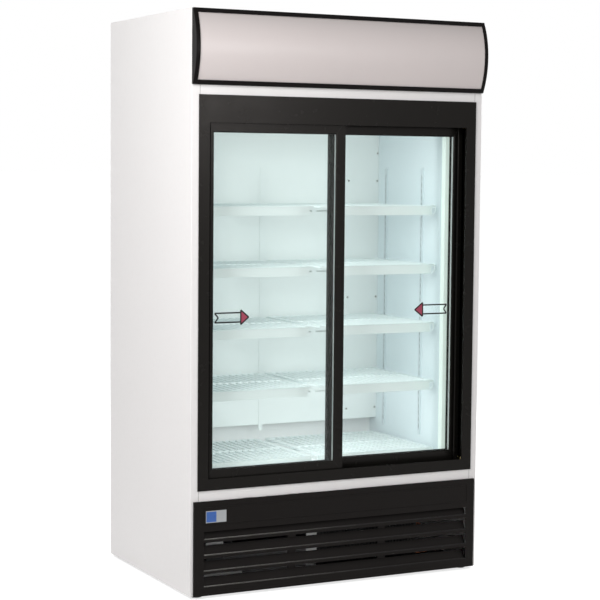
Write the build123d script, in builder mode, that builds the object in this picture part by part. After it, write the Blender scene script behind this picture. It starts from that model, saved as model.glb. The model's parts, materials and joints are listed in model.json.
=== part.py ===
"""Beverage display refrigerator with two sliding glass doors and a lit canopy.

Millimetres. +X to the right, +Y to the back, +Z up. The origin is on the floor, at the
middle of the outer width and of the outer depth, canopy included. Every piece is a part of
its own and is written to its own STEP file.
"""

from build123d import *
import math
import os

os.makedirs("parts", exist_ok=True)

# Cabinet: heights are above the lower edge of the side panels, depths behind its front plane
cabinet_width = 1140.0
cabinet_depth = 750.0
cabinet_height = 1980.0
foot_height = 10.0
sheet = 1.0
side_return = 30.0
panel_bend = 2.0
roof_lip = 12.0
wall = 60.0
floor_height = 400.0
ceiling_below_top = 75.0
tub_floor_height = 325.0

# Door frame: black profiles round the doorway
frame_inset = 26.0
frame_proud = 4.0
frame_bottom = 360.0
frame_below_top = 285.0
frame_skin = 3.0
jamb_face = 39.0
sill_face = 39.0
header_face = 93.0

# Sliding doors, the left one in the front track
door_thickness = 30.0
track_margin = 7.0
track_gap = 9.0
door_tuck = 15.0
door_lap = 34.0
door_top_tuck = 18.0
door_bottom_tuck = 12.0
stile_width = 36.0
top_rail_width = 49.0
bottom_rail_width = 41.0
mitre_gap = 0.3
sight_bevel = 2.5
pull_radius = 6.0
pull_inset = 17.5
glazing_lip = 4.0
pane = 4.0
pane_space = 14.0
pocket_depth = 12.0
pane_edge = 10.0
spacer_back = 4.0
glazing_clearance = 0.2
seal_width = 6.0
seal_reach = 8.0
seal_gap = 2.0

# Hangers and rollers in the header, guides in the sill
ledge_width = 17.0
ledge_thickness = 3.0
ledge_above_door = 10.0
rib_width = 3.0
rib_height = 2.5
roller_radius = 12.0
roller_width = 8.0
groove_depth = 2.0
groove_width = 5.0
roller_inset = 110.0
rolling_gap = 0.3
axle_radius = 3.0
axle_clearance = 0.05
axle_head_radius = 4.5
axle_head = 1.0
axle_shoulder = 4.2
axle_side_play = 0.3
hanger_plate = 3.0
hanger_width = 44.0
hanger_foot = 20.0
hanger_above_axle = 9.0
guide_width = 3.0
guide_clearance = 1.0
guide_lap = 8.0
guide_groove = 12.0
divider = 2.0
divider_gap = 4.0

# Shelves: four levels in two columns, and a low floor rack
shelf_levels = 4
first_shelf_height = 670.0
shelf_pitch = 216.0
shelf_front = 175.0
shelf_depth = 455.0
shelf_side_gap = 18.0
shelf_centre_gap = 34.0
shelf_thickness = 6.0
slat_pitch = 26.0
slat_gap = 20.0
shelf_border = 14.0
strip_height = 34.0
strip_thickness = 3.0
strip_inset = 19.0
deck_height = 18.0
deck_lip = 12.0
runner_width = 20.0
standard_width = 16.0
standard_depth = 10.0
standard_sheet = 1.5
standard_bottom = 450.0
standard_length = 1005.0
standard_front = 305.0
standard_rear = 575.0
clip_length = 22.0
clip_width = 14.0
clip_leg = 24.0
clip_thickness = 3.0
arm_flange = 60.0
arm_height = 26.0
arm_tip = 12.0
arm_length = 330.0

# Cold-air unit above the shelves
duct_front = 640.0
duct_bottom = 470.0
cover_front = 200.0
cover_below_top = 340.0
coil_front = 420.0
coil_depth = 140.0
coil_half_width = 420.0
coil_height = 200.0
duct_side_gap = 0.3
outlet_columns = 3
outlet_pitch = 92.0
outlet_length = 72.0
outlet_height = 6.0
outlet_from_middle = 180.0
outlet_below_shelf = 84.0
outlet_rise = 234.0
light_bar_width = 35.0
light_bar_depth = 40.0
light_bar_round = 22.0

# Canopy light box
canopy_below_top = 1.0
canopy_height = 252.0
canopy_projection = 40.0
canopy_edge_depth = 10.0
cap_width = 14.0
cap_round = 2.5
bezel_height = 15.0
lens_thickness = 3.0
lens_inset = 2.5
lens_seat = 5.0
joint_gap = 0.2
strip_count = 3
led_strip_width = 14.0
led_strip_depth = 4.0

# Front grille with four louvre rows
grille_inset = 11.0
grille_proud = 10.0
grille_top_gap = 0.3
grille_round = 3.0
grille_sheet = 2.0
louvre_rows = 4
louvre_first = 35.0
louvre_pitch = 54.0
louvre_bar = 14.0
louvre_rise = 27.0
louvre_reach = 22.0
lip_chamfer = 1.5
top_slot = 24.0
field_inset = 36.0
stiffener_offset = 180.0
stiffener_width = 32.0
band_bottom = 242.0
band_top = 306.0
band_inset = 34.0
band_line = 2.0

# Machine compartment
pan_sheet = 2.0
pan_lip = 12.0
foot_radius = 20.0
foot_disc = 8.0
foot_stem = 5.0
foot_inset = 40.0
stem_clearance = 0.3
nut_flats = 19.0
nut_height = 9.0
condenser_width = 400.0
condenser_height = 220.0
condenser_depth = 44.0
condenser_front = 60.0
condenser_from_side = 420.0
coil_foot = 20.0
end_plate = 2.0
fin_pitch = 12.5
fin_gap = 6.0
fin_cut = 4.0
bend_pitch = 25.0
shroud_depth = 33.0
fan_ring = 2.0
motor_arm = 12.0
fan_radius = 98.0
fan_gap = 7.0
fan_hub = 26.0
fan_hub_length = 24.0
blade_count = 5
blade_thickness = 2.0
blade_root_width = 40.0
blade_tip_width = 74.0
blade_root_pitch = 38.0
blade_tip_pitch = 24.0
motor_radius = 34.0
motor_length = 46.0
motor_gap = 3.0
shaft_radius = 4.0
shaft_clearance = 0.05
compressor_radius = 82.0
compressor_height = 190.0
compressor_from_side = 270.0
compressor_depth = 430.0
compressor_dome = 36.0
compressor_seam = 5.0
compressor_seam_height = 105.0
compressor_base = 3.0
rubber_foot_radius = 12.0
rubber_foot_height = 18.0
rubber_foot_pitch_x = 160.0
rubber_foot_pitch_y = 116.0
port_height = 150.0
port_length = 12.0
port_radius = 7.0
tube_radius = 4.0
tube_bend = 20.0
tube_straight = 42.0
tube_spacing = 28.0
tube_from_wall = 58.0
tube_from_back = 32.0
tube_clearance = 0.3
drier_from_coil = 68.0
drier_radius = 11.0
drier_length = 90.0
drain_hole = 9.0
drain_wall = 1.6
drain_from_side = 270.0
drain_from_back = 60.0
drain_pan_width = 300.0
drain_pan_depth = 145.0
drain_pan_height = 40.0
drain_pan_sheet = 2.0
control_from_side = 142.0
control_front = 42.0
control_width = 147.0
control_depth = 90.0
control_height = 75.0
dial_from_side = 112.0
dial_width = 66.0
dial_depth = 60.0
dial_height = 107.0
dial_centre = 64.0
control_sheet = 1.2
knob_radius = 16.0
knob_length = 14.0
knob_gap = 0.5
spindle_radius = 3.0
spindle_length = 9.0
knob_flutes = 12
knob_flute = 2.0
vent_columns = 4
vent_rows = 7
vent_length = 200.0
vent_height = 9.0
vent_pitch_x = 240.0
vent_pitch_z = 24.0
vent_centre = 190.0
gland_hole = 11.0
gland_flange = 4.0
gland_length = 20.0
gland_inset = 60.0

# Derived places
half_width = cabinet_width / 2
front = canopy_projection - (cabinet_depth + canopy_projection) / 2
rear = front + cabinet_depth
base = foot_height
top = base + cabinet_height
inner_half = half_width - wall
frame_half = half_width - frame_inset
body_half = half_width - side_return - sheet
track_front = front + frame_skin - sheet
front_door_face = track_front + track_margin
rear_door_face = front_door_face + door_thickness + track_gap
frame_back_inner = rear_door_face + door_thickness + track_margin
frame_back = frame_back_inner + frame_skin
track_middle = (track_front + frame_back_inner) / 2
sill_bottom = base + frame_bottom
sill_top = sill_bottom + sill_face
header_top = top - frame_below_top
header_bottom = header_top - header_face
jamb_inner = frame_half - jamb_face
door_outer = jamb_inner + door_tuck
door_inner = door_lap / 2
door_bottom = sill_top - door_bottom_tuck
door_top = header_bottom + door_top_tuck
glass_outer = door_outer - stile_width
glass_inner = stile_width - door_inner
glass_bottom = door_bottom + bottom_rail_width
glass_top = door_top - top_rail_width
liner_floor = base + floor_height
liner_ceiling_z = top - ceiling_below_top
liner_back_y = rear - wall
tub_bottom = base + tub_floor_height
cover_bottom = top - cover_below_top
duct_face = front + duct_front
duct_half = inner_half - duct_side_gap
shelf_face = front + shelf_front
ledge_top = door_top + ledge_above_door + ledge_thickness
axle_z = ledge_top + rib_height + rolling_gap + roller_radius - groove_depth
middle_y = (front + rear) / 2
pan_floor = base + pan_sheet
cold_fan_z = (cover_bottom + liner_ceiling_z) / 2
coil_y0 = front + coil_front
coil_z0 = cover_bottom + sheet + coil_foot
condenser_centre = half_width - condenser_from_side
compressor_x = half_width - compressor_from_side
drain_x = drain_from_side - half_width
control_x = control_from_side - half_width
dial_x = dial_from_side - half_width
condenser_x0 = condenser_centre - condenser_width / 2
condenser_x1 = condenser_centre + condenser_width / 2
condenser_y0 = front + condenser_front
condenser_z0 = pan_floor + coil_foot
compressor_y = front + compressor_depth

# Refrigerant circuit: corner points of the three tubes
port_z = pan_floor + port_height
port_reach = compressor_radius + port_length
coil_end = coil_half_width + end_plate
suction_x = inner_half - tube_from_wall
liquid_x = suction_x + tube_spacing
riser_y = rear - tube_from_back
suction_top = coil_z0 + coil_height / 3
liquid_top = coil_z0 + 2 * coil_height / 3
liquid_z = condenser_z0 + tube_spacing
drier_x = condenser_x1 + end_plate + drier_from_coil
drier_y = condenser_y0 + condenser_depth / 2
discharge_run = [
    (compressor_x, compressor_y - port_reach, port_z),
    (compressor_x, compressor_y - port_reach - tube_straight, port_z),
    (condenser_x1 + tube_straight, compressor_y - port_reach - tube_straight, port_z),
    (condenser_x1 + tube_straight, drier_y, port_z),
    (condenser_x1 + end_plate, drier_y, port_z),
]
suction_run = [
    (compressor_x, compressor_y + port_reach, port_z),
    (compressor_x, compressor_y + port_reach + tube_straight, port_z),
    (suction_x, compressor_y + port_reach + tube_straight, port_z),
    (suction_x, riser_y, port_z),
    (suction_x, riser_y, suction_top),
    (suction_x, coil_y0 + coil_depth / 2, suction_top),
    (coil_end, coil_y0 + coil_depth / 2, suction_top),
]
liquid_run = [
    (condenser_x1 + end_plate, drier_y, liquid_z),
    (drier_x, drier_y, liquid_z),
    (drier_x, riser_y, liquid_z),
    (liquid_x, riser_y, liquid_z),
    (liquid_x, riser_y, liquid_top),
    (liquid_x, coil_y0 + coil_depth / 2, liquid_top),
    (coil_end, coil_y0 + coil_depth / 2, liquid_top),
]


def corners(x0, x1, y0, y1, mode=Mode.ADD):
    """Rectangle between two corners of the open sketch."""
    with Locations(((x0 + x1) / 2, (y0 + y1) / 2)):
        Rectangle(abs(x1 - x0), abs(y1 - y0), mode=mode)


def block(x0, x1, y0, y1, z0, z1, mode=Mode.ADD):
    """Box between two corners of the open part."""
    with Locations(((x0 + x1) / 2, (y0 + y1) / 2, (z0 + z1) / 2)):
        Box(abs(x1 - x0), abs(y1 - y0), abs(z1 - z0), mode=mode)


def run_tube(points, radius, mode=Mode.ADD):
    """Round bar along straight runs with rounded corners."""
    with BuildLine(mode=Mode.PRIVATE) as path:
        FilletPolyline(*points, radius=tube_bend)
    with BuildSketch(Plane(origin=path.line @ 0, z_dir=path.line % 0)) as section:
        Circle(radius)
    sweep(section.sketch, path=path.line, mode=mode)


def finish(piece, label):
    """Name a finished piece and write its STEP file."""
    piece.part.label = label
    export_step(piece.part, f"parts/{label}.step")


# Cabinet skins
def make_side_panel(side):
    """C-shaped sheet: outer skin with a flange folded in at the front and at the back."""
    with BuildPart() as panel:
        with BuildSketch(Plane.XY.offset(base)) as plan:
            corners(side * (half_width - side_return), side * half_width, front, rear)
            outer_corners = plan.vertices().group_by(Axis.X)[-1 if side > 0 else 0]
            fillet(outer_corners, radius=panel_bend)
            corners(
                side * (half_width - side_return),
                side * (half_width - sheet),
                front + sheet,
                rear - sheet,
                mode=Mode.SUBTRACT,
            )
        extrude(amount=cabinet_height)
    return panel


side_panel_left = make_side_panel(-1)
finish(side_panel_left, "side_panel_left")
side_panel_right = make_side_panel(1)
finish(side_panel_right, "side_panel_right")

skin_x = half_width - sheet
skin_y0 = front + sheet
skin_y1 = rear - 2 * sheet

with BuildPart() as roof_panel:
    block(-skin_x, skin_x, skin_y0, skin_y1, top - roof_lip, top)
    offset(amount=-sheet, openings=roof_panel.faces().sort_by(Axis.Z)[0])
finish(roof_panel, "roof_panel")

with BuildPart() as upper_front_panel:
    block(side_return - half_width, half_width - side_return, front, front + sheet, header_top, top)
finish(upper_front_panel, "upper_front_panel")

# Floor of the insulated tub; the white strip under the doors is its folded front edge
tub_floor_plane = Plane.XY.offset(tub_bottom)
drain_y = liner_back_y - drain_from_back

with BuildPart() as tub_floor_panel:
    block(-skin_x, skin_x, skin_y0, skin_y1, tub_bottom, tub_bottom + sheet)
    block(side_return - half_width, half_width - side_return, front, skin_y0, tub_bottom, sill_bottom)
    with BuildSketch(tub_floor_plane):
        with Locations((suction_x, riser_y), (liquid_x, riser_y)):
            Circle(tube_radius + tube_clearance)
        with Locations((drain_x, drain_y)):
            Circle(drain_hole)
    extrude(amount=sheet, mode=Mode.SUBTRACT)
finish(tub_floor_panel, "tub_floor_panel")

# Back skin with the machine compartment's air slots and a hole for the lead's gland
gland_x = half_width - gland_inset
gland_z = base + gland_inset

with BuildPart() as back_panel:
    block(-skin_x, skin_x, skin_y1, rear - sheet, base, top)
    with BuildSketch(Plane.XZ.offset(-rear)):
        with Locations((0, base + vent_centre)):
            with GridLocations(vent_pitch_x, vent_pitch_z, vent_columns, vent_rows):
                Rectangle(vent_length, vent_height)
        with Locations((gland_x, gland_z)):
            Circle(gland_hole)
    extrude(amount=3 * sheet, mode=Mode.SUBTRACT)
finish(back_panel, "back_panel")

with BuildPart() as power_gland:
    with BuildSketch(Plane.XZ.offset(-rear)):
        with Locations((gland_x, gland_z)):
            RegularPolygon(gland_hole + gland_flange, 6)
    extrude(amount=sheet)
    with BuildSketch(Plane.XZ.offset(sheet - rear)):
        with Locations((gland_x, gland_z)):
            Circle(gland_hole - stem_clearance)
    extrude(amount=gland_length)
    with BuildSketch(Plane.XZ.offset(-rear)):
        with Locations((gland_x, gland_z)):
            Circle(gland_hole / 2)
    extrude(amount=gland_length + sheet, mode=Mode.SUBTRACT)
finish(power_gland, "power_gland")

# Liner: white sheets round the cold space
liner_z0 = liner_floor - sheet
liner_z1 = liner_ceiling_z + sheet

with BuildPart() as liner_left:
    block(-inner_half - sheet, -inner_half, frame_back, liner_back_y + sheet, liner_z0, liner_z1)
finish(liner_left, "liner_left")

with BuildPart() as liner_right:
    block(inner_half, inner_half + sheet, frame_back, liner_back_y + sheet, liner_z0, liner_z1)
finish(liner_right, "liner_right")

with BuildPart() as liner_back:
    block(-inner_half, inner_half, liner_back_y, liner_back_y + sheet, liner_z0, liner_z1)
    with BuildSketch(Plane.XZ.offset(-liner_back_y - sheet)):
        with Locations((suction_x, suction_top), (liquid_x, liquid_top)):
            Circle(tube_radius + tube_clearance)
    extrude(amount=sheet, mode=Mode.SUBTRACT)
finish(liner_back, "liner_back")

with BuildPart() as liner_floor_sheet:
    block(-inner_half, inner_half, frame_back, liner_back_y, liner_z0, liner_floor)
    with BuildSketch(Plane.XY.offset(liner_z0)):
        with Locations((drain_x, drain_y)):
            Circle(drain_hole)
    extrude(amount=sheet, mode=Mode.SUBTRACT)
finish(liner_floor_sheet, "liner_floor")

# The ceiling's front edge is folded down behind the header
with BuildPart() as liner_ceiling:
    with BuildSketch(Plane.YZ):
        corners(frame_back, liner_back_y, liner_ceiling_z, liner_ceiling_z + sheet)
        corners(frame_back, frame_back + sheet, header_top, liner_ceiling_z)
    extrude(amount=inner_half, both=True)
finish(liner_ceiling, "liner_ceiling")

# Foam fills everything between the skins, the liner and the door frame
with BuildPart() as foam_insulation:
    block(-skin_x, skin_x, skin_y0, skin_y1, tub_bottom + sheet, top - sheet)
    block(-inner_half - sheet, inner_half + sheet, frame_back, liner_back_y + sheet, liner_z0, liner_z1,
          mode=Mode.SUBTRACT)
    block(-body_half, body_half, front, frame_back, sill_bottom, header_top, mode=Mode.SUBTRACT)
    add(roof_panel.part, mode=Mode.SUBTRACT)
    with BuildSketch(tub_floor_plane):
        with Locations((drain_x, drain_y)):
            Circle(drain_hole)
    extrude(amount=liner_floor - tub_bottom, mode=Mode.SUBTRACT)
    run_tube(suction_run, tube_radius + tube_clearance, mode=Mode.SUBTRACT)
    run_tube(liquid_run, tube_radius + tube_clearance, mode=Mode.SUBTRACT)
finish(foam_insulation, "foam_insulation")


# Door frame: header with two hanging tracks, sill with two guides, and two jambs
def track_ledges():
    """Two ledges with round-topped ribs, mirrored about the middle of the tracks."""
    for sign in (-1, 1):
        wall_y = track_front if sign < 0 else frame_back_inner
        ledge_y = wall_y - sign * ledge_width
        corners(min(wall_y, ledge_y), max(wall_y, ledge_y), ledge_top - ledge_thickness, ledge_top)
        rib_y = roller_y(sign)
        rib_crown = ledge_top + rib_height - rib_width / 2
        corners(rib_y - rib_width / 2, rib_y + rib_width / 2, ledge_top, rib_crown)
        with Locations((rib_y, rib_crown)):
            Circle(rib_width / 2)


def door_middle(sign):
    """Middle plane of the front door (sign -1) or of the rear door (sign 1)."""
    face = front_door_face if sign < 0 else rear_door_face
    return face + door_thickness / 2


def roller_y(sign):
    """Middle plane of a door's rollers, between its hanger plate and the track wall."""
    clear = hanger_plate / 2 + axle_shoulder + axle_side_play + roller_width / 2
    return door_middle(sign) + sign * clear


with BuildPart() as frame_header:
    with BuildSketch(Plane.YZ):
        corners(front, frame_back, header_bottom, header_top)
        corners(track_front, frame_back_inner, header_bottom, header_top - frame_skin, mode=Mode.SUBTRACT)
        corners(track_middle - divider / 2, track_middle + divider / 2, header_bottom + divider_gap,
                header_top - frame_skin)
        track_ledges()
    extrude(amount=body_half, both=True)
    block(-frame_half, frame_half, front - frame_proud, front, header_bottom, header_top)
finish(frame_header, "frame_header")

with BuildPart() as frame_sill:
    with BuildSketch(Plane.YZ):
        corners(front, frame_back, sill_bottom, sill_top)
        corners(track_front, frame_back_inner, sill_bottom + frame_skin, sill_top, mode=Mode.SUBTRACT)
        for sign in (-1, 1):
            guide_y = door_middle(sign)
            corners(guide_y - guide_width / 2, guide_y + guide_width / 2, sill_bottom + frame_skin,
                    door_bottom + guide_lap)
    extrude(amount=body_half, both=True)
    block(-frame_half, frame_half, front - frame_proud, front, sill_bottom, sill_top)
finish(frame_sill, "frame_sill")


def make_jamb(side):
    """Channel that swallows the outer stiles, with a face plate lapped over the side panel."""
    with BuildPart() as jamb:
        with BuildSketch(Plane.XY.offset(sill_top)):
            corners(side * jamb_inner, side * body_half, front, frame_back)
            corners(side * jamb_inner, side * (body_half - frame_skin), track_front, frame_back_inner,
                    mode=Mode.SUBTRACT)
            corners(side * jamb_inner, side * frame_half, front - frame_proud, front)
        extrude(amount=header_bottom - sill_top)
    return jamb


frame_jamb_left = make_jamb(-1)
finish(frame_jamb_left, "frame_jamb_left")
frame_jamb_right = make_jamb(1)
finish(frame_jamb_right, "frame_jamb_right")


# Sliding doors
def on_sight_line(edge, sight_outer, sight_inner):
    """True for the front edges that run round the visible glass."""
    centre = edge.center()
    beside = min(abs(centre.X - sight_outer), abs(centre.X - sight_inner)) < mitre_gap
    above = min(abs(centre.Z - glass_top), abs(centre.Z - glass_bottom)) < mitre_gap
    return beside or above


def make_door_frame(side, face):
    """Four mitred profiles with a glazing pocket, a guide groove and a finger pull.

    Members stay separate at the mitres. The outer stile is on the given side.
    """
    outer = side * door_outer
    inner = -side * door_inner
    sight_outer = side * glass_outer
    sight_inner = side * glass_inner
    back = face + door_thickness
    with BuildPart() as frame:
        with BuildSketch(Plane.XZ.offset(-back)):
            for edge_z, sight_z in ((door_top, glass_top), (door_bottom, glass_bottom)):
                Polygon((outer, edge_z), (inner, edge_z), (sight_inner, sight_z), (sight_outer, sight_z))
            for edge, sight in ((outer, sight_outer), (inner, sight_inner)):
                Polygon(
                    (edge, door_bottom + mitre_gap),
                    (edge, door_top - mitre_gap),
                    (sight, glass_top - mitre_gap),
                    (sight, glass_bottom + mitre_gap),
                )
        extrude(amount=door_thickness)
        sight_edges = (
            frame.edges()
            .filter_by_position(Axis.Y, face - 0.01, face + 0.01)
            .filter_by(lambda e: on_sight_line(e, sight_outer, sight_inner))
        )
        chamfer(sight_edges, sight_bevel)
        block(
            sight_outer + side * pocket_depth,
            sight_inner - side * pocket_depth,
            face + glazing_lip - glazing_clearance,
            face + glazing_lip + 2 * pane + pane_space + glazing_clearance,
            glass_bottom - pocket_depth,
            glass_top + pocket_depth,
            mode=Mode.SUBTRACT,
        )
        middle = face + door_thickness / 2
        half_groove = guide_width / 2 + guide_clearance
        block(outer, inner, middle - half_groove, middle + half_groove, door_bottom,
              door_bottom + guide_groove, mode=Mode.SUBTRACT)
        with BuildSketch(Plane.XY.offset(door_bottom)):
            with Locations((outer - side * pull_inset, face)):
                Circle(pull_radius)
        extrude(amount=door_top - door_bottom, mode=Mode.SUBTRACT)
    return frame


def make_door_glass(side, face):
    """Outer and inner pane of the insulating glass unit."""
    x0 = side * (glass_outer + pane_edge)
    x1 = side * (glass_inner - pane_edge)
    with BuildPart() as panes:
        for depth in (glazing_lip, glazing_lip + pane + pane_space):
            block(x0, x1, face + depth, face + depth + pane, glass_bottom - pane_edge,
                  glass_top + pane_edge)
    return panes


def make_door_spacer(side, face):
    """Bright spacer ring between the panes, set back behind the sight line."""
    depth = glazing_lip + pane
    with BuildPart() as spacer:
        with BuildSketch(Plane.XZ.offset(-face - depth - pane_space)):
            corners(side * (glass_outer + pane_edge), side * (glass_inner - pane_edge),
                    glass_bottom - pane_edge, glass_top + pane_edge)
            corners(side * (glass_outer + spacer_back), side * (glass_inner - spacer_back),
                    glass_bottom - spacer_back, glass_top + spacer_back, mode=Mode.SUBTRACT)
        extrude(amount=pane_space)
    return spacer


def hanger_places(side):
    """Middles of a door's two hangers along the rail."""
    return [side * (door_outer - roller_inset), side * (roller_inset - door_inner)]


def make_hangers(side, sign):
    """Angle plates on the door's top rail, each with a headed axle for one roller."""
    middle = door_middle(sign)
    with BuildPart() as hangers:
        for x in hanger_places(side):
            with BuildSketch(Plane.YZ.offset(x - hanger_width / 2)):
                corners(middle - hanger_plate / 2, middle + hanger_plate / 2, door_top,
                        axle_z + hanger_above_axle)
                corners(middle - hanger_foot / 2, middle + hanger_foot / 2, door_top,
                        door_top + hanger_plate)
            extrude(amount=hanger_width)
            axle_plane = Plane(origin=(x, middle, axle_z), x_dir=(1, 0, 0), z_dir=(0, sign, 0))
            shoulder_end = hanger_plate / 2 + axle_shoulder
            axle_end = shoulder_end + roller_width + 2 * axle_side_play
            with BuildSketch(axle_plane):
                Circle(axle_head_radius)
            extrude(amount=shoulder_end)
            with BuildSketch(axle_plane):
                Circle(axle_radius - axle_clearance)
            extrude(amount=axle_end)
            with BuildSketch(axle_plane.offset(axle_end)):
                Circle(axle_head_radius)
            extrude(amount=axle_head)
    return hangers


def make_roller(x, sign):
    """Turned roller: a groove for the rail's rib, a bore for the axle."""
    middle = roller_y(sign)
    with BuildPart() as roller:
        with BuildSketch(Plane.YZ.offset(x)):
            corners(middle - roller_width / 2, middle + roller_width / 2, axle_z + axle_radius,
                    axle_z + roller_radius)
            corners(middle - groove_width / 2, middle + groove_width / 2,
                    axle_z + roller_radius - groove_depth, axle_z + roller_radius, mode=Mode.SUBTRACT)
        revolve(axis=Axis((x, middle, axle_z), (0, 1, 0)))
    return roller


for side_name, side, sign, face in (
    ("left", -1, -1, front_door_face),
    ("right", 1, 1, rear_door_face),
):
    finish(make_door_frame(side, face), f"{side_name}_door_frame")
    finish(make_door_glass(side, face), f"{side_name}_door_glass")
    finish(make_door_spacer(side, face), f"{side_name}_door_spacer")
    finish(make_hangers(side, sign), f"{side_name}_door_hangers")
    for place_name, x in zip(("outer", "inner"), hanger_places(side)):
        finish(make_roller(x, sign), f"{side_name}_door_roller_{place_name}")

# Pale bulb seal along the rear door's leading edge
bulb_y = rear_door_face - seal_reach + seal_width / 2

with BuildPart() as meeting_seal:
    with BuildSketch(Plane.XY.offset(sill_top + seal_gap)):
        corners(-door_inner - seal_width, -door_inner, bulb_y, rear_door_face + seal_reach)
        with Locations((-door_inner - seal_width / 2, bulb_y)):
            Circle(seal_width / 2)
            Circle(seal_width / 2 - sheet, mode=Mode.SUBTRACT)
    extrude(amount=header_bottom - sill_top - 2 * seal_gap)
finish(meeting_seal, "meeting_seal")


# Shelves
def slatted_panel(x0, x1, y0, y1, z0, z1):
    """Slats that run front to back between two cross borders, as one holed plate."""
    count = int((abs(x1 - x0) - 2 * shelf_border + slat_pitch - slat_gap) // slat_pitch)
    with BuildSketch(Plane.XY.offset(z0)) as slats:
        corners(x0, x1, y0, y1)
        with Locations(((x0 + x1) / 2, (y0 + y1) / 2)):
            with GridLocations(slat_pitch, (y1 - y0) / 2, count, 2):
                Rectangle(slat_gap, (y1 - y0) / 2 - shelf_border, mode=Mode.SUBTRACT)
    extrude(slats.sketch, amount=z1 - z0)


shelf_inner = shelf_centre_gap / 2
shelf_outer = inner_half - shelf_side_gap


def make_shelf(side, shelf_top):
    """Slatted shelf with a price strip along its front edge."""
    x0 = side * shelf_inner
    x1 = side * shelf_outer
    with BuildPart() as shelf:
        slatted_panel(x0, x1, shelf_face + strip_thickness, shelf_face + shelf_depth,
                      shelf_top - shelf_thickness, shelf_top)
        block(x0 + side * strip_inset, x1 - side * strip_inset, shelf_face, shelf_face + strip_thickness,
              shelf_top - strip_height, shelf_top)
    return shelf


for side_name, side in (("left", -1), ("right", 1)):
    for level in range(shelf_levels):
        shelf_top = base + first_shelf_height + shelf_pitch * level
        finish(make_shelf(side, shelf_top), f"shelf_{side_name}_{level + 1}")

# Low floor rack on runners
with BuildPart() as floor_rack:
    deck_top = liner_floor + deck_height
    for side in (-1, 1):
        x0 = side * shelf_inner
        x1 = side * shelf_outer
        slatted_panel(x0, x1, shelf_face + strip_thickness, shelf_face + shelf_depth,
                      deck_top - shelf_thickness, deck_top)
        block(x0, x1, shelf_face, shelf_face + strip_thickness, deck_top - deck_lip, deck_top)
        for share in (0.0, 0.5, 1.0):
            y0 = shelf_face + strip_thickness + share * (shelf_depth - strip_thickness - runner_width)
            block(x0, x1, y0, y0 + runner_width, liner_floor, deck_top - shelf_thickness)
finish(floor_rack, "floor_rack")


# Slotted standards on the side walls and on the air duct
def standard_channel():
    """C section that stands on a wall at the sketch origin and opens towards it."""
    Rectangle(standard_depth, standard_width, align=(Align.MIN, Align.CENTER))
    Rectangle(standard_depth - standard_sheet, standard_width - 2 * standard_sheet,
              align=(Align.MIN, Align.CENTER), mode=Mode.SUBTRACT)


with BuildPart() as shelf_standards:
    for side in (-1, 1):
        for depth in (standard_front, standard_rear):
            foot_plane = Plane(origin=(side * inner_half, front + depth, base + standard_bottom),
                               x_dir=(-side, 0, 0), z_dir=(0, 0, 1))
            with BuildSketch(foot_plane):
                standard_channel()
            extrude(amount=standard_length)
    rear_plane = Plane(origin=(0, duct_face, base + duct_bottom), x_dir=(0, -1, 0), z_dir=(0, 0, 1))
    with BuildSketch(rear_plane):
        standard_channel()
    extrude(amount=standard_bottom + standard_length - duct_bottom)
finish(shelf_standards, "shelf_standards")

# Clips under the outer shelf edges and cantilever arms under the middle
with BuildPart() as shelf_supports:
    for level in range(shelf_levels):
        seat = base + first_shelf_height + shelf_pitch * level - shelf_thickness
        for side in (-1, 1):
            wall_x = side * (inner_half - standard_depth)
            for depth in (standard_front, standard_rear):
                with BuildSketch(Plane.XZ.offset(-front - depth - clip_width / 2)):
                    corners(wall_x, wall_x - side * clip_length, seat - clip_thickness, seat)
                    corners(wall_x, wall_x - side * clip_thickness, seat - clip_leg, seat)
                extrude(amount=clip_width)
        arm_back = duct_face - standard_depth
        with BuildSketch(Plane.YZ):
            Polygon(
                (arm_back, seat),
                (arm_back, seat - arm_height),
                (arm_back - arm_length, seat - arm_tip),
                (arm_back - arm_length, seat),
            )
        extrude(amount=clip_thickness / 2, both=True)
        block(-arm_flange / 2, arm_flange / 2, arm_back - arm_length, arm_back, seat - clip_thickness, seat)
finish(shelf_supports, "shelf_supports")

# Light bars in the front corners of the cold space
light_bottom = liner_floor + deck_height
light_top = header_top
with BuildPart() as light_bars:
    for side in (-1, 1):
        with BuildSketch(Plane.XY.offset(light_bottom)) as bar:
            corners(side * inner_half, side * (inner_half - light_bar_width), frame_back,
                    frame_back + light_bar_depth)
            free_corner = bar.vertices().group_by(Axis.Y)[-1].sort_by(Axis.X)[0 if side > 0 else -1]
            fillet(free_corner, radius=light_bar_round)
        extrude(amount=light_top - light_bottom)
finish(light_bars, "light_bars")

# Air duct on the back wall: a shallow pan, open at the top and at the foot
with BuildPart() as air_duct_panel:
    with BuildSketch(Plane.XY.offset(base + duct_bottom)):
        corners(-duct_half, duct_half, duct_face, liner_back_y)
        corners(sheet - duct_half, duct_half - sheet, duct_face + sheet, liner_back_y, mode=Mode.SUBTRACT)
    extrude(amount=cover_bottom - base - duct_bottom)
    with BuildSketch(Plane.XZ.offset(-duct_face)):
        for side in (-1, 1):
            for level in range(shelf_levels):
                outlet_z = base + first_shelf_height - outlet_below_shelf + outlet_rise * level
                with Locations((side * outlet_from_middle, outlet_z)):
                    with GridLocations(outlet_pitch, 1.0, outlet_columns, 1):
                        Rectangle(outlet_length, outlet_height)
    extrude(amount=-sheet, mode=Mode.SUBTRACT)
finish(air_duct_panel, "air_duct_panel")


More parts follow.
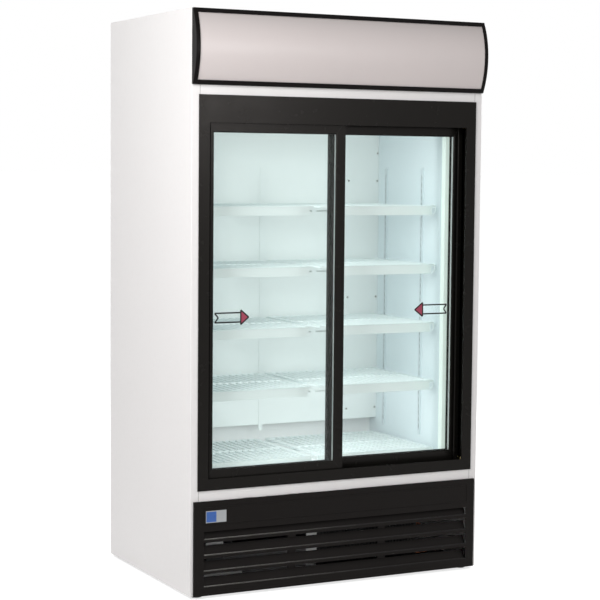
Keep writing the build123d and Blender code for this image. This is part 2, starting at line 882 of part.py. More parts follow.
# Fans: a motor on two arms behind each ring, and a bladed rotor on its shaft
def fan_motor(x, y, z, plate_y):
    """Motor and shaft for a rotor at this middle, its two arms rooted on the ring's plate."""
    motor_front = y + fan_hub_length / 2 + motor_gap
    arm_y0 = motor_front + motor_arm
    arm_y1 = arm_y0 + motor_arm
    ring_x = fan_radius + fan_gap
    with BuildSketch(Plane.XZ.offset(-motor_front - motor_length)) as can:
        with Locations((x, z)):
            Circle(motor_radius)
    extrude(can.sketch, amount=motor_length)
    with BuildSketch(Plane.XZ.offset(-motor_front)) as shaft:
        with Locations((x, z)):
            Circle(shaft_radius - shaft_clearance)
    extrude(shaft.sketch, amount=fan_hub_length / 2 + motor_gap)
    for side in (-1, 1):
        block(x + side * motor_radius / 2, x + side * (ring_x + 2 * motor_arm), arm_y0, arm_y1,
              z - motor_arm / 2, z + motor_arm / 2)
        block(x + side * (ring_x + motor_arm), x + side * (ring_x + 2 * motor_arm), plate_y, arm_y1,
              z - motor_arm / 2, z + motor_arm / 2)


def make_fan(x, y, z):
    """Axial rotor on a Y shaft: a domed hub and twisted blades lofted from root to tip."""
    with BuildPart() as fan:
        with BuildSketch(Plane.XZ.offset(-y - fan_hub_length / 2)):
            with Locations((x, z)):
                Circle(fan_hub)
        extrude(amount=fan_hub_length)
        nose = fan.faces().sort_by(Axis.Y)[0].edges()
        fillet(nose, radius=fan_hub_length / 4)
        for index in range(blade_count):
            turn = math.radians(360.0 / blade_count * index)
            spoke = Plane(origin=(x, y, z), x_dir=(0, 1, 0), z_dir=(math.cos(turn), 0, math.sin(turn)))
            with BuildSketch(spoke.offset(fan_hub / 2)):
                Rectangle(blade_thickness, blade_root_width, rotation=blade_root_pitch)
            with BuildSketch(spoke.offset(fan_radius)):
                Rectangle(blade_thickness, blade_tip_width, rotation=blade_tip_pitch)
            loft()
        with BuildSketch(Plane.XZ.offset(-y)):
            with Locations((x, z)):
                Circle(fan_radius)
        extrude(amount=2 * fan_hub_length, both=True, mode=Mode.INTERSECT)
        with BuildSketch(Plane.XZ.offset(-y)):
            with Locations((x, z)):
                Circle(shaft_radius)
        extrude(amount=fan_hub_length, both=True, mode=Mode.SUBTRACT)
    return fan


# Cover of the cold-air unit: floor and front in one sheet, with the fan's hole and motor
cover_face = front + cover_front

with BuildPart() as evaporator_cover:
    with BuildSketch(Plane.YZ):
        corners(cover_face, duct_face, cover_bottom, cover_bottom + sheet)
        corners(cover_face, cover_face + sheet, cover_bottom, liner_ceiling_z)
    extrude(amount=inner_half, both=True)
    with BuildSketch(Plane.XZ.offset(-cover_face)):
        with Locations((0, cold_fan_z)):
            Circle(fan_radius + fan_gap)
    extrude(amount=-sheet, mode=Mode.SUBTRACT)
    fan_motor(0, cover_face, cold_fan_z, cover_face)
finish(evaporator_cover, "evaporator_cover")

finish(make_fan(0, cover_face, cold_fan_z), "evaporator_fan")


# Coils: finned cores between end plates, with hairpin bends on the left side
def finned_core(x0, x1, y0, y1, z0, z1):
    """Core whose front and back faces are cut into upright fins."""
    count = int((x1 - x0 - fin_pitch) // fin_pitch)
    block(x0, x1, y0, y1, z0, z1)
    for face_y in (y0 + fin_cut, y1):
        with BuildSketch(Plane.XZ.offset(-face_y)) as gaps:
            with Locations(((x0 + x1) / 2, (z0 + z1) / 2)):
                with GridLocations(fin_pitch, 1.0, count, 1):
                    Rectangle(fin_gap, z1 - z0 - fin_pitch)
        extrude(gaps.sketch, amount=fin_cut, mode=Mode.SUBTRACT)


def hairpins(x, y, z0, z1):
    """Return bends one above the other, standing out to the left of an end plate."""
    count = int((z1 - z0 - bend_pitch) // (2 * bend_pitch))
    start = (z0 + z1) / 2 - (count - 0.5) * bend_pitch
    for index in range(count):
        low = start + 2 * bend_pitch * index
        with BuildLine(Plane.XZ.offset(-y), mode=Mode.PRIVATE) as path:
            ThreePointArc((x, low), (x - bend_pitch / 2, low + bend_pitch / 2), (x, low + bend_pitch))
        with BuildSketch(Plane(origin=path.line @ 0, z_dir=path.line % 0)) as section:
            Circle(tube_radius)
        sweep(section.sketch, path=path.line)


with BuildPart() as evaporator_coil:
    coil_y1 = coil_y0 + coil_depth
    coil_z1 = coil_z0 + coil_height
    finned_core(-coil_half_width, coil_half_width, coil_y0, coil_y1, coil_z0, coil_z1)
    for side in (-1, 1):
        block(side * coil_half_width, side * coil_end, coil_y0, coil_y1, cover_bottom + sheet, coil_z1)
    for share in (0.25, 0.75):
        hairpins(end_plate / 2 - coil_end, coil_y0 + share * coil_depth, coil_z0, coil_z1)
finish(evaporator_coil, "evaporator_coil")


# Canopy: a D section between two end caps
canopy_z1 = top - canopy_below_top
canopy_z0 = canopy_z1 - canopy_height
canopy_middle = (canopy_z0 + canopy_z1) / 2
canopy_chord = canopy_z1 - canopy_z0
canopy_sagitta = canopy_projection - canopy_edge_depth
canopy_radius = (canopy_chord ** 2 / 4 + canopy_sagitta ** 2) / (2 * canopy_sagitta)
canopy_centre_y = front - canopy_projection + canopy_radius


def canopy_section(inset, z0, z1, back):
    """Part of the canopy's D section, its round front set back by inset."""
    with Locations((canopy_centre_y, canopy_middle)):
        Circle(canopy_radius - inset)
    corners(front - canopy_projection, back, z0, z1, mode=Mode.INTERSECT)


def lens_section(clearance):
    """Arc-shaped band of the lens, grown by a clearance on every side."""
    with Locations((canopy_centre_y, canopy_middle)):
        Circle(canopy_radius - lens_inset + clearance)
        Circle(canopy_radius - lens_inset - lens_thickness - clearance, mode=Mode.SUBTRACT)
    seat = bezel_height - lens_seat - clearance
    corners(front - canopy_projection, front, canopy_z0 + seat, canopy_z1 - seat, mode=Mode.INTERSECT)


rail_half = half_width - cap_width - joint_gap

with BuildPart() as canopy_frame:
    for side in (-1, 1):
        with BuildSketch(Plane.YZ.offset(side * half_width)):
            canopy_section(0, canopy_z0, canopy_z1, front)
        extrude(amount=-side * cap_width)
        cap_face = canopy_frame.faces().sort_by(Axis.X)[-1 if side > 0 else 0]
        fillet(cap_face.edges().filter_by(lambda e: e.center().Y < front - sheet), radius=cap_round)
    for z0, z1 in ((canopy_z0, canopy_z0 + bezel_height), (canopy_z1 - bezel_height, canopy_z1)):
        with BuildSketch(Plane.YZ):
            canopy_section(0, z0, z1, front)
        extrude(amount=rail_half, both=True)
    with BuildSketch(Plane.YZ):
        lens_section(joint_gap)
    extrude(amount=rail_half, both=True, mode=Mode.SUBTRACT)
finish(canopy_frame, "canopy_frame")

with BuildPart() as canopy_lens:
    with BuildSketch(Plane.YZ):
        lens_section(0)
    extrude(amount=rail_half, both=True)
finish(canopy_lens, "canopy_lens")

with BuildPart() as canopy_light_strips:
    with BuildSketch(Plane.XZ.offset(-front)):
        with Locations((0, canopy_middle)):
            with GridLocations(1.0, (canopy_chord - 2 * bezel_height) / strip_count, 1, strip_count):
                Rectangle(2 * (rail_half - cap_width), led_strip_width)
    extrude(amount=led_strip_depth)
finish(canopy_light_strips, "canopy_light_strips")

# Front grille: a dished cover with four louvre rows. Each blade starts at the foot of its bar,
# leans in and rises past the bar, so that it hides the machinery from someone standing.
grille_half = half_width - grille_inset
grille_face = front - grille_proud
grille_top = tub_bottom - grille_top_gap
field_half = grille_half - field_inset
field_bottom = base + louvre_first
top_lip = field_bottom + (louvre_rows - 1) * louvre_pitch

with BuildPart() as louvre_grille:
    block(-grille_half, grille_half, grille_face, front, base, grille_top)
    rim = louvre_grille.faces().sort_by(Axis.Y)[0].edges()
    fillet(rim, radius=grille_round)
    block(grille_sheet - grille_half, grille_half - grille_sheet, grille_face + grille_sheet, front,
          base + grille_sheet, grille_top - grille_sheet, mode=Mode.SUBTRACT)
    with BuildSketch(Plane.XZ.offset(-grille_face - grille_sheet)):
        for row in range(louvre_rows):
            slot_bottom = field_bottom + row * louvre_pitch
            slot_top = slot_bottom + (louvre_pitch - louvre_bar if row < louvre_rows - 1 else top_slot)
            corners(-field_half, field_half, slot_bottom, slot_top)
    extrude(amount=grille_sheet, mode=Mode.SUBTRACT)
    for row in range(louvre_rows):
        lip = field_bottom + row * louvre_pitch
        with BuildSketch(Plane.YZ):
            Polygon(
                (grille_face + grille_sheet / 2, lip - louvre_bar),
                (grille_face + louvre_reach - grille_sheet, lip + louvre_rise),
                (grille_face + louvre_reach, lip + louvre_rise),
                (grille_face + 3 * grille_sheet / 2, lip - louvre_bar),
            )
        extrude(amount=field_half, both=True)
        with BuildSketch(Plane.YZ):
            Polygon(
                (grille_face - lip_chamfer, lip),
                (grille_face + lip_chamfer, lip),
                (grille_face - lip_chamfer, lip - 2 * lip_chamfer),
            )
        extrude(amount=field_half, both=True, mode=Mode.SUBTRACT)
    for side in (-1, 1):
        block(side * stiffener_offset - stiffener_width / 2, side * stiffener_offset + stiffener_width / 2,
              grille_face + louvre_reach - grille_sheet, grille_face + louvre_reach, base + grille_sheet,
              grille_top - grille_sheet)
        block(side * stiffener_offset - stiffener_width / 2, side * stiffener_offset + stiffener_width / 2,
              grille_face + grille_sheet, grille_face + louvre_reach, top_lip + top_slot + grille_sheet,
              top_lip + top_slot + 3 * grille_sheet)
    with BuildSketch(Plane.XZ.offset(-grille_face)):
        corners(band_inset - grille_half, grille_half - band_inset, base + band_bottom, base + band_top)
        corners(band_inset + band_line - grille_half, grille_half - band_inset - band_line,
                base + band_bottom + band_line, base + band_top - band_line, mode=Mode.SUBTRACT)
    extrude(amount=-grille_sheet / 2, mode=Mode.SUBTRACT)
finish(louvre_grille, "louvre_grille")

# Base pan with weld nuts, and levelling feet screwed into them
foot_pitch_x = 2 * (half_width - foot_inset)
foot_pitch_y = cabinet_depth - 2 * foot_inset

with BuildPart() as base_pan:
    block(-skin_x, skin_x, skin_y0, skin_y1, base, base + pan_lip)
    offset(amount=-pan_sheet, openings=base_pan.faces().sort_by(Axis.Z)[-1])
    with BuildSketch(Plane.XY.offset(pan_floor)):
        with Locations((0, middle_y)):
            with GridLocations(foot_pitch_x, foot_pitch_y, 2, 2):
                RegularPolygon(nut_flats / 2, 6, major_radius=False)
    extrude(amount=nut_height)
    with BuildSketch(Plane.XY.offset(base)):
        with Locations((0, middle_y)):
            with GridLocations(foot_pitch_x, foot_pitch_y, 2, 2):
                Circle(foot_stem + stem_clearance)
    extrude(amount=pan_sheet + nut_height, mode=Mode.SUBTRACT)
finish(base_pan, "base_pan")

with BuildPart() as levelling_feet:
    with BuildSketch():
        with Locations((0, middle_y)):
            with GridLocations(foot_pitch_x, foot_pitch_y, 2, 2):
                Circle(foot_radius)
    extrude(amount=foot_disc)
    fillet(levelling_feet.edges().group_by(Axis.Z)[-1], radius=foot_disc / 2)
    with BuildSketch():
        with Locations((0, middle_y)):
            with GridLocations(foot_pitch_x, foot_pitch_y, 2, 2):
                Circle(foot_stem)
    extrude(amount=pan_floor + nut_height + foot_disc)
finish(levelling_feet, "levelling_feet")

# Condenser on tall end plates that also carry the fan's shroud
shroud_y0 = condenser_y0 + condenser_depth
shroud_y1 = shroud_y0 + shroud_depth
condenser_z1 = condenser_z0 + condenser_height
hot_fan_z = condenser_z0 + condenser_height / 2

with BuildPart() as condenser_coil:
    finned_core(condenser_x0, condenser_x1, condenser_y0, shroud_y0, condenser_z0, condenser_z1)
    for wall_x in (condenser_x0 - end_plate, condenser_x1):
        block(wall_x, wall_x + end_plate, condenser_y0, shroud_y1, pan_floor, condenser_z1)
    hairpins(condenser_x0 - end_plate / 2, condenser_y0 + condenser_depth / 2, condenser_z0, condenser_z1)
finish(condenser_coil, "condenser_coil")

with BuildPart() as condenser_fan_mount:
    block(condenser_x0, condenser_x1, shroud_y0, shroud_y1, condenser_z0, condenser_z1)
    offset(amount=-fan_ring, openings=condenser_fan_mount.faces().sort_by(Axis.Y)[0])
    for radius, mode in ((fan_radius + fan_gap + fan_ring, Mode.ADD),
                         (fan_radius + fan_gap, Mode.SUBTRACT)):
        with BuildSketch(Plane.XZ.offset(-shroud_y1 - motor_arm)):
            with Locations((condenser_centre, hot_fan_z)):
                Circle(radius)
        extrude(amount=2 * motor_arm, mode=mode)
    fan_motor(condenser_centre, shroud_y1, hot_fan_z, shroud_y1)
finish(condenser_fan_mount, "condenser_fan_mount")

finish(make_fan(condenser_centre, shroud_y1, hot_fan_z), "condenser_fan")

# Hermetic compressor: a deep-drawn shell with a seam, on a plate with rubber feet
plate_z = pan_floor + rubber_foot_height

with BuildPart() as compressor:
    with BuildSketch(Plane.XY.offset(plate_z)):
        with Locations((compressor_x, compressor_y)):
            Circle(compressor_radius)
    extrude(amount=compressor_height)
    fillet(compressor.edges().group_by(Axis.Z)[-1], radius=compressor_dome)
    fillet(compressor.edges().group_by(Axis.Z)[0], radius=compressor_dome / 2)
    with BuildSketch(Plane.XY.offset(plate_z + compressor_seam_height)):
        with Locations((compressor_x, compressor_y)):
            Circle(compressor_radius + compressor_seam)
    extrude(amount=compressor_seam)
    with BuildSketch(Plane.XY.offset(plate_z)):
        with Locations((compressor_x, compressor_y)):
            RectangleRounded(2 * port_reach, 2 * compressor_radius + compressor_seam, rubber_foot_radius)
    extrude(amount=compressor_base)
    with BuildSketch(Plane.XY.offset(pan_floor)):
        with Locations((compressor_x, compressor_y)):
            with GridLocations(rubber_foot_pitch_x, rubber_foot_pitch_y, 2, 2):
                Circle(rubber_foot_radius)
    extrude(amount=rubber_foot_height)
    with BuildSketch(Plane.XZ.offset(-compressor_y)):
        with Locations((compressor_x, port_z)):
            Circle(port_radius)
    extrude(amount=port_reach, both=True)
finish(compressor, "compressor")

# Discharge, suction and liquid tubes; the liquid tube carries the filter drier
with BuildPart() as refrigerant_tubes:
    run_tube(discharge_run, tube_radius)
    run_tube(suction_run, tube_radius)
    run_tube(liquid_run, tube_radius)
    with BuildSketch(Plane.XZ.offset(-drier_y - tube_straight)):
        with Locations((drier_x, liquid_z)):
            Circle(drier_radius)
    extrude(amount=-drier_length)
    fillet(refrigerant_tubes.edges().filter_by(lambda e: e.length > 2 * math.pi * drier_radius - sheet),
           radius=drier_radius / 2)
finish(refrigerant_tubes, "refrigerant_tubes")

# Condensate: a pipe through the tub's floor drips into a drawn pan
with BuildPart() as condensate_drain:
    pan_x0 = drain_x - drain_pan_width / 2
    pan_y0 = drain_y - drain_pan_depth / 2
    block(pan_x0, pan_x0 + drain_pan_width, pan_y0, pan_y0 + drain_pan_depth, pan_floor,
          pan_floor + drain_pan_height)
    fillet(condensate_drain.edges().filter_by(Axis.Z), radius=rubber_foot_radius)
    offset(amount=-drain_pan_sheet, openings=condensate_drain.faces().sort_by(Axis.Z)[-1])
    with BuildSketch(Plane.XY.offset(liner_floor)):
        with Locations((drain_x, drain_y)):
            Circle(drain_hole - stem_clearance)
            Circle(drain_hole - stem_clearance - drain_wall, mode=Mode.SUBTRACT)
    extrude(amount=pan_floor + drain_pan_height / 2 - liner_floor)
finish(condensate_drain, "condensate_drain")

# Control box: a wide wiring box with the thermostat's housing on top
with BuildPart() as control_box:
    control_y0 = front + control_front
    housing_z = pan_floor + control_height
    dial_z = housing_z + dial_centre
    with BuildSketch(Plane.XY.offset(pan_floor)):
        with Locations((control_x, control_y0 + control_depth / 2)):
            RectangleRounded(control_width, control_depth, panel_bend)
            offset(amount=-control_sheet, mode=Mode.SUBTRACT)
    extrude(amount=control_height)
    with BuildSketch(Plane.XY.offset(housing_z)):
        with Locations((dial_x, control_y0 + dial_depth / 2)):
            RectangleRounded(dial_width, dial_depth, panel_bend)
            offset(amount=-control_sheet, mode=Mode.SUBTRACT)
    extrude(amount=dial_height)
    for z, x, width, depth in (
        (housing_z, control_x, control_width, control_depth),
        (housing_z + dial_height, dial_x, dial_width, dial_depth),
    ):
        with BuildSketch(Plane.XY.offset(z - control_sheet)):
            with Locations((x, control_y0 + depth / 2)):
                RectangleRounded(width, depth, panel_bend)
        extrude(amount=control_sheet)
    with BuildSketch(Plane.XZ.offset(-control_y0 - control_sheet)):
        with Locations((dial_x, dial_z)):
            Circle(spindle_radius - axle_clearance)
    extrude(amount=control_sheet + knob_gap + spindle_length)
finish(control_box, "control_box")

with BuildPart() as thermostat_knob:
    knob_back = control_y0 - knob_gap
    with BuildSketch(Plane.XZ.offset(-knob_back)):
        with Locations((dial_x, dial_z)):
            Circle(knob_radius)
            with PolarLocations(knob_radius + knob_flute / 2, knob_flutes):
                Circle(knob_flute, mode=Mode.SUBTRACT)
    extrude(amount=knob_length, taper=3)
    with BuildSketch(Plane.XZ.offset(-knob_back)):
        with Locations((dial_x, dial_z)):
            Circle(spindle_radius)
    extrude(amount=spindle_length + sheet, mode=Mode.SUBTRACT)
finish(thermostat_knob, "thermostat_knob")
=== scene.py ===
# %% [markdown]
# # Looks of a beverage display refrigerator
# A tall white cabinet with a black door frame, two sliding doors of insulating glass, white
# shelves behind them, a black louvre grille below and a curved canopy above.
# The frame gives every solid piece of it. This script adds the finishes, and on top of the
# solids the small parts: stickers, screws, slots, seals and clips.

# %% Load the frame
import json
import math
import bmesh
import bpy
from mathutils import Matrix, Vector


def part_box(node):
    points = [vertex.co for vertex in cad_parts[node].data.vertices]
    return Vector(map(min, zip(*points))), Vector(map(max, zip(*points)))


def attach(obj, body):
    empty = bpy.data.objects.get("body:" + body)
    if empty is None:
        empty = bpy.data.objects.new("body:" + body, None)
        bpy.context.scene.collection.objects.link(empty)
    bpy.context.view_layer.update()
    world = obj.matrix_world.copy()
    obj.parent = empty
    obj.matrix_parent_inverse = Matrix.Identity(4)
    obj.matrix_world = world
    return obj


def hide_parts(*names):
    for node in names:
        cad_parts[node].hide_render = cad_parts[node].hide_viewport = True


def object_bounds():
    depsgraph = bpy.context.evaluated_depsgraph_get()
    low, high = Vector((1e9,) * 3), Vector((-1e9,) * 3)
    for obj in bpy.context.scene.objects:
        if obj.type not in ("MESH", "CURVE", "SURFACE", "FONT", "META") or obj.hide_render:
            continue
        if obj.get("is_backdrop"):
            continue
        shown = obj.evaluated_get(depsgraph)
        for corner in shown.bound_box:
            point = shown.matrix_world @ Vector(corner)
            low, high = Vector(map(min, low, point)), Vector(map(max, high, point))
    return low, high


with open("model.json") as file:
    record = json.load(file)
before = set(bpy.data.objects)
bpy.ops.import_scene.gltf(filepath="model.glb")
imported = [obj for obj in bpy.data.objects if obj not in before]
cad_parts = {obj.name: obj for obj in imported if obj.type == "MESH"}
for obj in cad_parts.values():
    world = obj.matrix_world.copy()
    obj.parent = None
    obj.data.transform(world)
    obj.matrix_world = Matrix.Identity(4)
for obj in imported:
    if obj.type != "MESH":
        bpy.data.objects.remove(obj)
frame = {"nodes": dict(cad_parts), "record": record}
bounds_at_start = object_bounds()
nodes = frame["nodes"]
MM = 0.001  # a millimetre in metres

# %% [markdown]
# ## Writing a finish
# A real finish is never one flat colour. Paint has orange peel, sheet metal has a rolling
# direction and zinc has spangle, so each material here is a small graph of noise that drives
# colour, gloss and relief. The graph reads object coordinates, in metres, so that the marks
# keep their real size and move with the piece. A short helper keeps each recipe readable.

# %% Graph helper
NOISE_ROUGHNESS = 0.55


def srgb(red, green, blue):
    """Linear colour of a screen colour from 0 to 255."""
    def linear(value):
        value /= 255
        return value / 12.92 if value <= 0.04045 else ((value + 0.055) / 1.055) ** 2.4
    return linear(red), linear(green), linear(blue)


class Graph:
    """One material and short calls that add nodes to it."""

    def __init__(self, name):
        self.material = bpy.data.materials.new(name)
        self.material.use_nodes = True
        self.tree = self.material.node_tree
        self.tree.nodes.clear()
        self.place = self.add("ShaderNodeTexCoord").outputs["Object"]

    def put(self, socket, value):
        """Link a socket to the input, or set a plain value there."""
        if isinstance(value, bpy.types.NodeSocket):
            self.tree.links.new(value, socket)
        else:
            socket.default_value = value

    def add(self, kind, inputs=None, **settings):
        """New node of that kind, with its settings and inputs."""
        node = self.tree.nodes.new(kind)
        for key, value in settings.items():
            setattr(node, key, value)
        for key, value in (inputs or {}).items():
            self.put(node.inputs[key], value)
        return node

    def stretched(self, scale):
        """The place, scaled by axis; a small factor draws the marks out along that axis."""
        inputs = {"Vector": self.place, "Scale": scale}
        return self.add("ShaderNodeMapping", inputs).outputs["Vector"]

    def noise(self, scale, detail=4.0, stretch=None):
        """Soft noise with that many cells in a metre."""
        place = self.place if stretch is None else self.stretched(stretch)
        inputs = {"Vector": place, "Scale": scale, "Detail": detail, "Roughness": NOISE_ROUGHNESS}
        return self.add("ShaderNodeTexNoise", inputs).outputs["Fac"]

    def cells(self, scale, output="Distance"):
        """Crystals, by the distance to their middle or by their colour."""
        inputs = {"Vector": self.place, "Scale": scale}
        return self.add("ShaderNodeTexVoronoi", inputs).outputs[output]

    def spread(self, factor, low, high, start=0.0, end=1.0):
        """The factor from start to end becomes low to high, and stays inside."""
        inputs = {"Value": factor, "From Min": start, "From Max": end,
                  "To Min": low, "To Max": high}
        return self.add("ShaderNodeMapRange", inputs).outputs["Result"]

    def math(self, operation, first, second=0.0):
        node = self.add("ShaderNodeMath", operation=operation)
        for socket, value in zip(node.inputs, (first, second)):
            self.put(socket, value)
        return node.outputs[0]

    def blend(self, factor, first, second):
        """Colour that goes from first to second as the factor goes from 0 to 1."""
        node = self.add("ShaderNodeMix", data_type="RGBA")
        sockets = {socket.identifier: socket for socket in node.inputs}
        self.put(sockets["Factor_Float"], factor)
        for key, value in (("A_Color", first), ("B_Color", second)):
            linked = isinstance(value, bpy.types.NodeSocket)
            self.put(sockets[key], value if linked else (*value, 1))
        return next(s for s in node.outputs if s.identifier == "Result_Color")

    def height(self, factor, depth, strength=1.0, below=None):
        """Relief of that depth in metres; below is the relief it lies on."""
        inputs = {"Height": factor, "Distance": depth, "Strength": strength}
        if below is not None:
            inputs["Normal"] = below
        return self.add("ShaderNodeBump", inputs).outputs["Normal"]

    def axis(self, name):
        """One of X, Y and Z of the place, in metres."""
        return self.add("ShaderNodeSeparateXYZ", {"Vector": self.place}).outputs[name]

    def principled(self, colour, rough, normal, **more):
        inputs = {"Base Color": colour, "Roughness": rough, "Normal": normal}
        inputs.update({key.replace("_", " "): value for key, value in more.items()})
        return self.add("ShaderNodeBsdfPrincipled", inputs).outputs["BSDF"]

    def finish(self, shader):
        self.add("ShaderNodeOutputMaterial", {"Surface": shader})
        return self.material


def shades(colour, amount):
    """A darker and a lighter form of a colour."""
    darker = tuple(c * (1 - amount) for c in colour)
    return darker, tuple(min(1, c * (1 + amount)) for c in colour)


print("helper ready: white is", [round(c, 2) for c in srgb(240, 238, 236)])

# %% [markdown]
# ## Paint
# The cabinet is powder-coated sheet. Powder melts into a skin with fine orange peel, and a
# large panel is never quite flat, so a slow wave lies under the peel. The black grille has the
# same coat with more texture. Both get faint wipe marks that only change the gloss.

# %% Painted sheet
CLOUDS, SPECKS, WIPES, WAVES, PEEL = 2.2, 60, 7, 1.6, 420  # noise cells in a metre
WIPED_DOWN = (1, 1, 0.25)  # wipe marks run down the sheet
MIDDLE = (0.3, 0.7)  # the part of the noise that sets the gloss
SATIN = (0.34, 0.45)
WARM = (1.0, 0.93, 0.9, 1.0)
STRIP_BACK = -0.176  # y of the back of the price strips, in metres


def painted(name, colour, rough=(0.3, 0.42), peel=0.00004, wave=0.0006, tone=0.015,
            behind=None, **more):
    """Powder coat; behind is a colour and a depth y, in metres, past which that colour is painted
    on as shade.
    """
    g = Graph(name)
    dark, light = shades(colour, tone)
    tint = g.blend(g.noise(CLOUDS, 3), dark, light)
    speck = g.spread(g.noise(SPECKS, 6), 0, 0.25, 0.5, 0.85)
    tint = g.blend(speck, tint, shades(colour, 0.1)[0])
    if behind:
        other, depth = behind
        past = g.spread(g.axis("Y"), 0, 1, depth - MM, depth + MM)
        tint = g.blend(past, tint, other)
    gloss = g.spread(g.noise(WIPES, 5, WIPED_DOWN), *rough, *MIDDLE)
    normal = g.height(g.noise(WAVES, 1), wave, 0.5)
    normal = g.height(g.noise(PEEL, 2), peel, 0.6, normal)
    return g.finish(g.principled(tint, gloss, normal, **more))


finishes = {
    "white_paint": painted("white powder coat", srgb(240, 237, 236)),
    "liner_white": painted("white liner sheet", srgb(230, 240, 244), SATIN, 0.00003, 0.0004),
    # the shelf wires past the price strips get a greyer white, a painted shade
    "shelf_coat": painted("white epoxy coat", srgb(240, 247, 246), (0.28, 0.4), 0.00006, 0.0002,
                          behind=(srgb(234, 242, 242), STRIP_BACK)),
    "grille_paint": painted("black powder coat", srgb(15, 13, 12), (0.4, 0.52), 0.00008, tone=0.12,
                            Specular_IOR_Level=0.115, Specular_Tint=WARM),
    "compressor_paint": painted("black enamel", srgb(24, 24, 26), (0.22, 0.35), 0.00006, tone=0.1),
}
print("paints:", ", ".join(finishes))

# %% [markdown]
# ## Moulded and extruded parts
# Profiles have faint lines along their length from the die, so their noise is stretched along
# the profile. Plastics have an even fine grain, and rubber is duller with small flow marks.

# %% Plastics, rubber and profiles
MOTTLE, SMEARS = 9, 24  # noise cells in a metre
DIE_LINES = (1, 1, 0.04)  # drawn out along z
paint_count = len(finishes)


def moulded(name, colour, rough=(0.4, 0.55), grain=900, depth=0.00003, tone=0.06,
            stretch=None, **more):
    """Plastic, rubber or a drawn profile with a grain of that scale and depth."""
    g = Graph(name)
    dark, light = shades(colour, tone)
    tint = g.blend(g.noise(MOTTLE, 4, stretch), dark, light)
    gloss = g.spread(g.noise(SMEARS, 5), *rough, *MIDDLE)
    normal = g.height(g.noise(grain, 3, stretch), depth, 0.7)
    return g.finish(g.principled(tint, gloss, normal, **more))


finishes.update({
    "black_profile": moulded("black extruded profile", srgb(19, 18, 16), (0.24, 0.28), 700,
                             0.000006, 0.12, DIE_LINES, Specular_IOR_Level=0.12,
                             Specular_Tint=WARM),
    "canopy_black": moulded("satin black canopy", srgb(12, 10, 10), (0.3, 0.38), 500, 0.00003, 0.1,
                            Specular_IOR_Level=0.08, Specular_Tint=WARM),
    "black_plastic": moulded("black moulded plastic", srgb(26, 26, 27), (0.42, 0.6)),
    "fan_plastic": moulded("grey fan plastic", srgb(48, 50, 52), (0.38, 0.5)),
    "roller_plastic": moulded("nylon roller", srgb(222, 218, 204), (0.3, 0.42), 500),
    "drain_plastic": moulded("grey drain plastic", srgb(96, 98, 100), (0.35, 0.5), 400),
    "seal": moulded("dark vinyl seal", srgb(22, 22, 18), (0.75, 0.85), 600, 0.00004, 0.05,
                    Specular_IOR_Level=0.05),
    "foam": moulded("insulating foam", srgb(226, 206, 150), (0.85, 0.95), 260, 0.0006, 0.12),
})
black_vinyl = moulded("black vinyl", srgb(18, 18, 19), (0.35, 0.5), 600, Specular_IOR_Level=0.3)
crimson_vinyl = moulded("crimson vinyl", srgb(160, 52, 78), (0.3, 0.42), 500)
blue_enamel = moulded("blue enamel", srgb(44, 92, 168), (0.25, 0.35), 500)
seam_filler = moulded("grey seam filler", srgb(168, 165, 162), (0.5, 0.6), 700)
# painted shade: a dark back seen through the slots of the wall channels
slot_shade = moulded("shaded slot back", srgb(52, 56, 60), (0.6, 0.7), 400)
slot_pale = moulded("pale slot back", srgb(232, 238, 238), (0.6, 0.7), 400)
# painted shade: machine_grey darkens the control box and base pan in the unlit machine room
machine_grey = moulded("machine room grey", srgb(34, 35, 37), (0.5, 0.62), 500, tone=0.15)
print("moulded:", len(finishes) - paint_count, "finishes and seven for small parts")

# %% [markdown]
# ## Light covers and lamp strips
# Light covers are pale diffusing plastic with the lamps behind them, so they give off a little
# light of their own, a bit uneven, and fine ribs in the plastic spread it.

# %% Lit plastic
RIB_SCALE = 80.0
RIB_DEPTH = 0.0003
GLOW_SWING = 0.07


def lit_cover(name, body, glow_colour, strength, ribs):
    """Ribbed cover that gives off some light, a little more in one place than in another."""
    g = Graph(name)
    dark, light = shades(body, 0.03)
    tint = g.blend(g.noise(30, 3), dark, light)
    gloss = g.spread(g.noise(20, 3), 0.3, 0.4)
    glow = g.spread(g.noise(6, 2), strength * (1 - GLOW_SWING), strength * (1 + GLOW_SWING),
                    *MIDDLE)
    wave = g.add("ShaderNodeTexWave", {"Vector": g.place, "Scale": RIB_SCALE}).outputs["Fac"]
    return g.finish(g.principled(tint, gloss, g.height(wave, RIB_DEPTH, ribs),
                                 Emission_Color=(*glow_colour, 1), Emission_Strength=glow))


finishes["light_cover"] = lit_cover("lit side cover", srgb(202, 208, 206), srgb(226, 240, 230),
                                    strength=0.56, ribs=0.4)
finishes["light_strip"] = lit_cover("lamp strip", srgb(236, 236, 230), srgb(250, 250, 244),
                                    strength=0.3, ribs=0.2)
print("lit plastics added,", len(finishes), "so far")

# %% [markdown]
# ## Metals
# Galvanised sheet shows zinc crystals: cells that differ a little in tone and gloss. Turned and
# plated parts show fine lines. Copper tube is bright with brown spots where it was heated, and
# a coil's aluminium fins are packed so densely that their lines run the whole height. The
# white sheet of the duct, the well and the shelf standards is coated like the liner; the well's
# white is brighter, painted light that lifts the shade in it.

# %% Metal sheet, tube and fins
FIN_PITCH = 0.0021
LEFT_END, NEAR_MIDDLE = -0.5, 0.1  # x between which a lip's painted highlight fades, in metres
ALL_WAYS = (1, 1, 1)
ALONG_X = (0.05, 1, 1)
ALONG_Z = (1, 1, 0.05)


